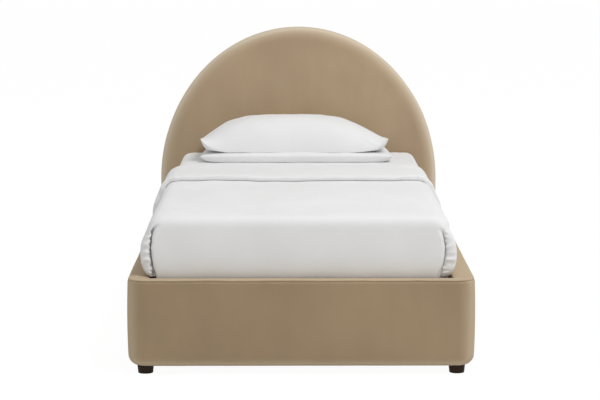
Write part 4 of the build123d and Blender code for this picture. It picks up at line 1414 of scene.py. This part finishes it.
    def lining(self, hem: Array, plain: Array) -> Array:
        """Lining from the hem up along the mattress and over its top edge.

        Each column heads for the nearest point of the mattress's rounded outline.

        Args:
            hem: Lowest row of the outer cloth.
            plain: The same row without its creases, which gives each column its direction.

        Returns:
            Grid of points from the hem to 45 mm inside the top's edge.
        """
        corner = self.mattress_corner
        core_x = np.clip(plain[:, 0], -self.half_width + corner, self.half_width - corner)
        core_y = np.maximum(plain[:, 1], self.foot_y + corner)
        ray = plain[:, :2] - stacked(core_x, core_y)
        ray /= np.linalg.norm(ray, axis=1, keepdims=True)
        low = plain[:, 2]
        edge = self.mattress_edge
        fall, climb = quarter(6)
        rise = np.concatenate([np.array([0.03, 0.1, 0.25, 0.5, 0.75, 1.0]), np.ones(8)])[:, None]
        over = np.concatenate([np.zeros(6), 1 - fall, np.ones(2)])[:, None]
        inset = np.concatenate([np.zeros(6), edge * climb, [edge + 0.005, self.lining_end]])[:, None]
        z = low + rise * (self.mattress_top - edge - low) + over * edge
        slack = self.hem_slack * np.abs(ray[None, :, 0])
        gap = np.where(rise < 0.3, self.lining_gap + slack, self.lining_gap)
        reach = corner + gap - inset
        points = stacked(core_x + ray[:, 0] * reach, core_y + ray[:, 1] * reach, z)
        return np.concatenate([hem[None], points])

    def body(self) -> bpy.types.Object:
        """Build the cover's main part, a closed shell of outer cloth and lining.

        Returns:
            The main part.
        """
        grid, place = self.surface(True)
        plain = self.surface(False)[0][-1]
        grid = self.relief(grid, place)
        corner = int(np.argmin(np.abs(place[: len(place) // 2] - self.side_columns - 8.0)))
        top = self.patch(grid[0], corner)
        for part in (grid, top):
            high = eased(part[..., 2], *self.crown_fade)
            part[..., 2] += self.crown(part[..., 0], part[..., 1]) * high
            part[..., 0] += self.shift
        lining = self.lining(grid[-1], plain)
        shell = Shell()
        for part in (grid, top, lining, self.patch(lining[-1], corner)):
            shell.grid(part)
        piece = shell.piece("cover_cloth")
        mount(piece, Body.PLATFORM, COTTON, "white_cotton", "duvet")
        return piece

    def section(self) -> tuple[Array, Array]:
        """Section of the cover's top and sides from hem to hem, with its normals.

        Returns:
            Points and unit normals, both (count, 2), as x and z.
        """
        count = self.band_levels
        side = np.array(self.side_levels[:count]) * MM
        left = stacked(-(self.half_width + side[:, 0]), side[:, 1])[::-1]
        middle = stacked(np.linspace(-self.flat_half, self.flat_half, 9), self.flat_z)
        keys = np.concatenate([left, middle, left[::-1] * np.array([-1.0, 1.0])])
        last = float(len(keys))
        place = spaced([(1.0, 0.55), (count - 1.0, 2.2), (last - count, 0.55), (last - 2.0, 1.0)], 0.16)
        points = spline_weights(len(keys), place) @ keys
        along = np.gradient(points, axis=0)
        normal = stacked(-along[:, 1], along[:, 0])
        return points, normal / np.linalg.norm(normal, axis=1, keepdims=True)

    def band_loop(self) -> Array:
        """Loop of the turned-back layer as place along the bed and rise above the cover.

        It runs along the underside, round a plump front hem, back over the top with a stitched groove
        behind the hem, and round the fold.

        Returns:
            Points of the loop, at most 8 mm apart.
        """
        foot, head = self.band_foot, self.band_head
        hem = [
            (0.030, 0.0006), (0.010, 0.0007), (0.003, 0.0012), (0.0, 0.0036), (-0.001, 0.0080),
            (-0.001, 0.0136), (0.0006, 0.0164), (0.005, 0.0180), (0.020, 0.0176), (0.036, 0.0150),
            (0.0385, 0.0140), (0.041, 0.0146), (0.047, 0.0142), (0.065, 0.0146), (0.12, 0.0142),
        ]
        fold = [
            (-0.060, 0.0145), (-0.030, 0.0150), (-0.012, 0.0138), (-0.003, 0.0105), (0.0, 0.0055),
            (-0.001, 0.0020), (-0.004, 0.0006),
        ]
        keys = [(head - 0.004, 0.0006), (0.20, 0.0006), (0.08, 0.0006)]
        keys += [(foot + y, lift) for y, lift in hem] + [(0.10, 0.0140), (0.18, 0.0142)]
        loop = np.array(keys + [(head + y, lift) for y, lift in fold])
        run = along_curve(loop[None])[0]
        counts = np.maximum(1, np.ceil(np.diff(run) / self.band_step)).astype(int)
        spans = zip(run, run[1:], counts)
        places = np.concatenate([np.linspace(*span, endpoint=False) for span in spans])
        return stacked(*(np.interp(places, run, values) for values in loop.T))

    def band(self) -> bpy.types.Object:
        """Build the turned-back head end: a closed, soft-edged layer over the top and both sides.

        Returns:
            The turned-back end.
        """
        base, normal = self.section()
        loop = self.band_loop()
        size = (len(base), len(loop))
        y = np.broadcast_to(loop[:, 0], size).copy()
        lift = loop[:, 1] * self.band_scale
        front = np.exp(-(y - self.band_foot) / self.hem_reach)
        shoulder = bell(np.abs(base[:, :1]), *self.shoulder)
        y += front * self.hem_drift.at(base[:, :1])[:, None]
        y += front * (1 + 1.4 * shoulder) * self.hem_wander.at(base)[:, None]
        y += front * shoulder * self.hem_pucker.at(base)[:, None]
        plan = stacked(base[:, :1], y)
        lift = lift + eased(lift, 0.003, 0.010) * uneven(plan, self.band_swells)
        end = np.minimum(np.arange(size[0]), np.arange(size[0])[::-1])[:, None]
        lift *= 0.35 + 0.65 * eased(end, 0.0, 6.0)
        points = stacked(base[:, :1] + normal[:, :1] * lift, y, base[:, 1:] + normal[:, 1:] * lift)
        high = eased(points[..., 2], *self.band_fade)
        points[..., 2] += high * self.crown(points[..., 0], points[..., 1])
        points[..., 0] += self.shift
        piece = Shell().grid(points, wrap=True).piece("cover_turnback")
        mount(piece, Body.PLATFORM, COTTON, "white_cotton", "duvet")
        return piece

    def build(self) -> list[bpy.types.Object]:
        """Build the cover and its turned-back end."""
        return [self.body(), self.band()]


@dataclass
class Pillow:
    """Pillow in a plain case: crowned, pulled in between its corners, flat where it lies."""

    name: str
    node: str
    centre: tuple[float, float]
    half: tuple[float, float]
    seam_z: float
    corner_z: tuple[float, float]
    top_z: float
    bottom_z: float
    seed: int
    fill: float
    crown_powers: tuple[float, float]
    front_power: float
    edge_power: float
    belly_reach: float
    pull_in: tuple[float, float]
    rear_narrowing: float
    softness: float
    rise_power: float

    def build(self) -> bpy.types.Object:
        """Build both halves on a square grid, mapped so that its border is the seam.

        The outline shrinks between the corners by a parabola. The seam rises from mid side to its
        corners, the top is one rounded profile across and one along, and the underside drops from the
        seam to the flat that it lies on.

        Returns:
            The pillow.
        """
        share = np.sin(np.linspace(-np.pi / 2, np.pi / 2, PILLOW_POINTS))
        a, b = np.meshgrid(share, share)
        rear = (1 + b) / 2
        narrowing = 1 - self.rear_narrowing * rear**2
        x = self.half[0] * a * (1 - self.pull_in[0] * (1 - b**2) * a**2) * narrowing
        y = self.half[1] * b * (1 - self.pull_in[1] * (1 - a**2) * b**2)
        corner = self.corner_z[0] * (1 - rear) + self.corner_z[1] * rear
        seam = self.seam_z + (corner - self.seam_z) * np.abs(a) ** self.rise_power
        across = 1 - np.abs(a) ** np.where(a < 0, *self.crown_powers)
        along = np.clip(1 - np.abs(b) ** self.front_power, 0, 1) ** self.edge_power
        place = stacked(x, y) + np.array(self.centre)
        edge = np.minimum(1 - np.abs(a), 1 - np.abs(b))
        inside = eased(edge, 0.0, 0.05)
        rim = np.exp(-edge / 0.05)
        tip = np.exp(-np.hypot(1 - np.abs(a), 1 - np.abs(b)) / 0.22)
        slow = uneven(place, (Relief(0.0016, 0.24, self.seed), Relief(0.0006, 0.09, self.seed + 1)))
        tuck = rim * Relief(0.0009, 0.035, self.seed + 2, (0.4, 0.2)).at(stacked(a, b))
        fold = tip * Relief(0.0030, 0.11, self.seed + 3).at(stacked(a - b * np.sign(a * b), 0.0))
        wave = self.softness * Relief(0.0009, 0.12, self.seed + 4).at(place)
        crest = seam + (self.top_z - seam) * across**0.85
        top = seam * (1 - along) + crest * along + wave
        top = top + self.softness * inside * (slow * along + fold + tuck)
        depth = np.clip(self.belly_reach * along * across**0.8, 0, 1)
        depth = 1 - (1 - depth) ** 1.7
        under = (seam + wave) * (1 - depth) + self.bottom_z * depth
        shell = Shell()
        for z in (top, under):
            shell.grid(stacked(place[..., 0], place[..., 1], z))
        piece = shell.piece(self.name)
        smooth = piece.modifiers.new("finish", "SUBSURF")
        smooth.levels = smooth.render_levels = 1
        mount(piece, Body.PLATFORM, COTTON, "white_cotton", self.node)
        return piece


# Lift strap and the solids that keep their shape


@dataclass
class LiftStrap:
    """Webbing loop at the foot end, for lifting the platform by hand."""

    width: float = 0.040
    thickness: float = 0.0022
    points_along: int = 60
    path: tuple[tuple[float, float], ...] = (
        (-0.9511, 0.2392), (-0.9511, 0.2520), (-0.9512, 0.2640), (-0.9540, 0.2700), (-0.9620, 0.2775),
        (-0.9700, 0.2850), (-0.9719, 0.2905), (-0.9719, 0.2990), (-0.9719, 0.3085),
    )

    def build(self) -> bpy.types.Object:
        """Carry a flat section with rounded selvedges along the strap's path.

        Returns:
            The strap.
        """
        keys = np.array(self.path)
        place = np.linspace(0, len(keys) - 1, self.points_along)
        line = spline_weights(len(keys), place) @ keys
        along = np.gradient(line, axis=0)
        normal = stacked(along[:, 1], -along[:, 0])
        normal /= np.linalg.norm(normal, axis=1, keepdims=True)
        turn = np.linspace(0, 2 * np.pi, 33)[:-1]
        x = self.width / 2 * np.sign(np.cos(turn)) * np.abs(np.cos(turn)) ** 0.35
        lift = self.thickness / 2 * np.sign(np.sin(turn)) * np.abs(np.sin(turn)) ** 0.5
        side = line[..., None] - normal[..., None] * lift
        points = stacked(x, side[:, 0], side[:, 1])
        piece = Shell().grid(points, wrap=True).piece("lift_strap_webbing")
        return mount(piece, Body.PLATFORM, WEBBING, "webbing", "lift_strap")


@dataclass
class Fittings:
    """Finishes for the solids whose shape is right."""

    finishes: tuple[tuple[Finish, tuple[str, ...]], ...] = (
        (PINE_ACROSS, ("foot_rail_core", "head_rail", "headboard_battens")),
        (PINE_ALONG, ("left_rail_core", "right_rail_core", "left_ledger", "right_ledger", "centre_beam")),
        (PANEL_PLY, ("headboard_panel",)),
        (PLYWOOD, ("floor_panel_1", "floor_panel_2", "floor_panel_3")),
        (SLAT_WOOD, ("slats",)),
        (DARK_FOOT, ("front_left_foot", "front_right_foot", "rear_left_foot", "rear_right_foot")),
        (BLACK_PLASTIC, ("beam_feet", "tube_end_caps", "slat_holders")),
        (RUBBER, ("rest_pads",)),
        (ZINC, ("foot_studs", "corner_screws", "rail_screws", "headboard_bolts", "platform_bolts")),
        (ZINC, ("base_pivots", "strut_pivots", "platform_pivots", "corner_brackets")),
        (ROD_STEEL, ("left_gas_rod", "right_gas_rod")),
    )
    other: Finish = PAINTED

    def build(self, nodes: dict[str, bpy.types.Object]) -> int:
        """Assign a finish to every solid that is still shown.

        Args:
            nodes: The solids by name.

        Returns:
            How many were dressed.
        """
        chosen = {name: finish for finish, names in self.finishes for name in names}
        shown = [(name, node) for name, node in nodes.items() if not node.hide_render]
        for name, node in shown:
            material = chosen.get(name, self.other).material()
            if not node.data.materials:
                node.data.materials.append(material)
            for slot in node.material_slots:
                slot.material = material
        return len(shown)


# Studio


@dataclass
class Studio:
    """Pale floor, soft light and the camera."""

    camera_place: tuple[float, float, float] = (-0.0395, -7.3033, 1.4811)
    camera_pitch: float = 8.13
    camera_yaw: float = 0.32
    focal_pixels: float = 1928.3
    frame_width: float = 600.0
    sensor_width: float = 36.0
    lamp_place: tuple[float, float, float] = (2.3, -2.4, 5.7)
    lamp_aim: tuple[float, float, float] = (0.0, -0.1, 0.5)
    lamp_size: float = 2.6
    lamp_power: float = 186.0
    ambient: float = 0.54
    floor_half: float = 30.0
    floor_grey: float = 0.86
    floor_glow: float = 1.04
    floor_white: float = 0.92

    def camera(self) -> None:
        """Stand the camera where the picture was taken from."""
        data = bpy.data.cameras.new("camera")
        data.sensor_width = self.sensor_width
        data.lens = self.focal_pixels / self.frame_width * self.sensor_width
        data.clip_end = 100.0
        camera = bpy.data.objects.new("camera", data)
        camera.location = self.camera_place
        tilt = math.radians(90.0 - self.camera_pitch)
        camera.rotation_euler = (tilt, 0.0, -math.radians(self.camera_yaw))
        bpy.context.scene.collection.objects.link(camera)
        bpy.context.scene.camera = camera

    def lamp(self) -> None:
        """Hang one large square lamp that faces the bed."""
        data = bpy.data.lights.new("key", "AREA")
        data.shape = "SQUARE"
        data.size = self.lamp_size
        data.energy = self.lamp_power
        lamp = bpy.data.objects.new("key", data)
        x, y, z = np.array(self.lamp_aim) - np.array(self.lamp_place)
        lamp.location = self.lamp_place
        lamp.rotation_euler = (math.atan2(math.hypot(x, y), -z), 0.0, math.atan2(-x, y))
        bpy.context.scene.collection.objects.link(lamp)

    def world(self) -> None:
        """Even pale surroundings, white where the camera, gloss or glass see them."""
        world = bpy.data.worlds.new("studio")
        bpy.context.scene.world = world
        tree = Tree.of(world)
        strength = tree.mapped(tree.seen_directly(), 0.0, 1.0, self.ambient, 1.0)
        background = tree.node("Background", {"Color": (1.0, 1.0, 1.0, 1.0), "Strength": strength})
        tree.node("OutputWorld", {0: background.outputs[0]})

    def floor(self) -> None:
        """Lay the floor: nearly white to the camera, with a light shadow under the bed."""
        mesh = bpy.data.meshes.new("floor")
        size, grey = self.floor_half, self.floor_grey
        corners = [(-size, -size, 0.0), (size, -size, 0.0), (size, size, 0.0), (-size, size, 0.0)]
        mesh.from_pydata(corners, [], [(0, 1, 2, 3)])
        floor = bpy.data.objects.new("floor", mesh)
        bpy.context.scene.collection.objects.link(floor)
        material = bpy.data.materials.new("floor_paint")
        tree = Tree.of(material)
        paint = tree.node("BsdfDiffuse", {"Color": (grey, grey, grey, 1.0)}).outputs[0]
        white = {"Color": (1.0, 1.0, 1.0, 1.0), "Strength": self.floor_glow}
        glow = tree.node("Emission", white).outputs[0]
        factor = tree.math("MULTIPLY", tree.seen_directly(), self.floor_white)
        mixed = tree.node("MixShader", {0: factor, 1: paint, 2: glow})
        tree.node("OutputMaterial", {0: mixed.outputs[0]})
        mesh.materials.append(material)

    def build(self) -> None:
        """Set up the whole studio."""
        bpy.context.scene.view_settings.view_transform = "Standard"
        self.camera()
        self.world()
        self.floor()
        self.lamp()


def main() -> None:
    """Build the bed piece by piece and report each."""
    logging.basicConfig(level=logging.INFO, format="%(name)s: %(message)s")
    Studio().build()
    SharedEffects().build()
    made: list[bpy.types.Object] = []
    for part in (Rails(), Headboard(), Mattress(), Cover()):
        made += part.build()
    lower = Pillow(
        name="lower_pillow_case",
        node="lower_pillow",
        centre=(-0.010, 0.738),
        half=(0.394, 0.197),
        seam_z=0.5400,
        corner_z=(0.5400, 0.5340),
        top_z=0.5562,
        bottom_z=0.5146,
        seed=71,
        fill=0.4,
        crown_powers=(6.5, 6.5),
        front_power=9.0,
        edge_power=0.7,
        belly_reach=2.1,
        pull_in=(0.004, 0.02),
        rear_narrowing=0.035,
        softness=0.4,
        rise_power=7.0,
    )
    upper = Pillow(
        name="upper_pillow_case",
        node="upper_pillow",
        centre=(-0.018, 0.748),
        half=(0.386, 0.186),
        seam_z=0.5530,
        corner_z=(0.6100, 0.5760),
        top_z=0.6915,
        bottom_z=0.5567,
        seed=81,
        fill=0.8,
        crown_powers=(4.0, 2.9),
        front_power=2.9,
        edge_power=0.56,
        belly_reach=2.6,
        pull_in=(-0.008, 0.045),
        rear_narrowing=0.03,
        softness=1.0,
        rise_power=9.0,
    )
    made += [lower.build(), upper.build(), LiftStrap().build()]
    for piece in made:
        LOG.info("%s: %d faces", piece.name, len(piece.data.polygons))
    LOG.info("dressed %d solids", Fittings().build(frame["nodes"]))


if __name__ == "__main__":
    main()
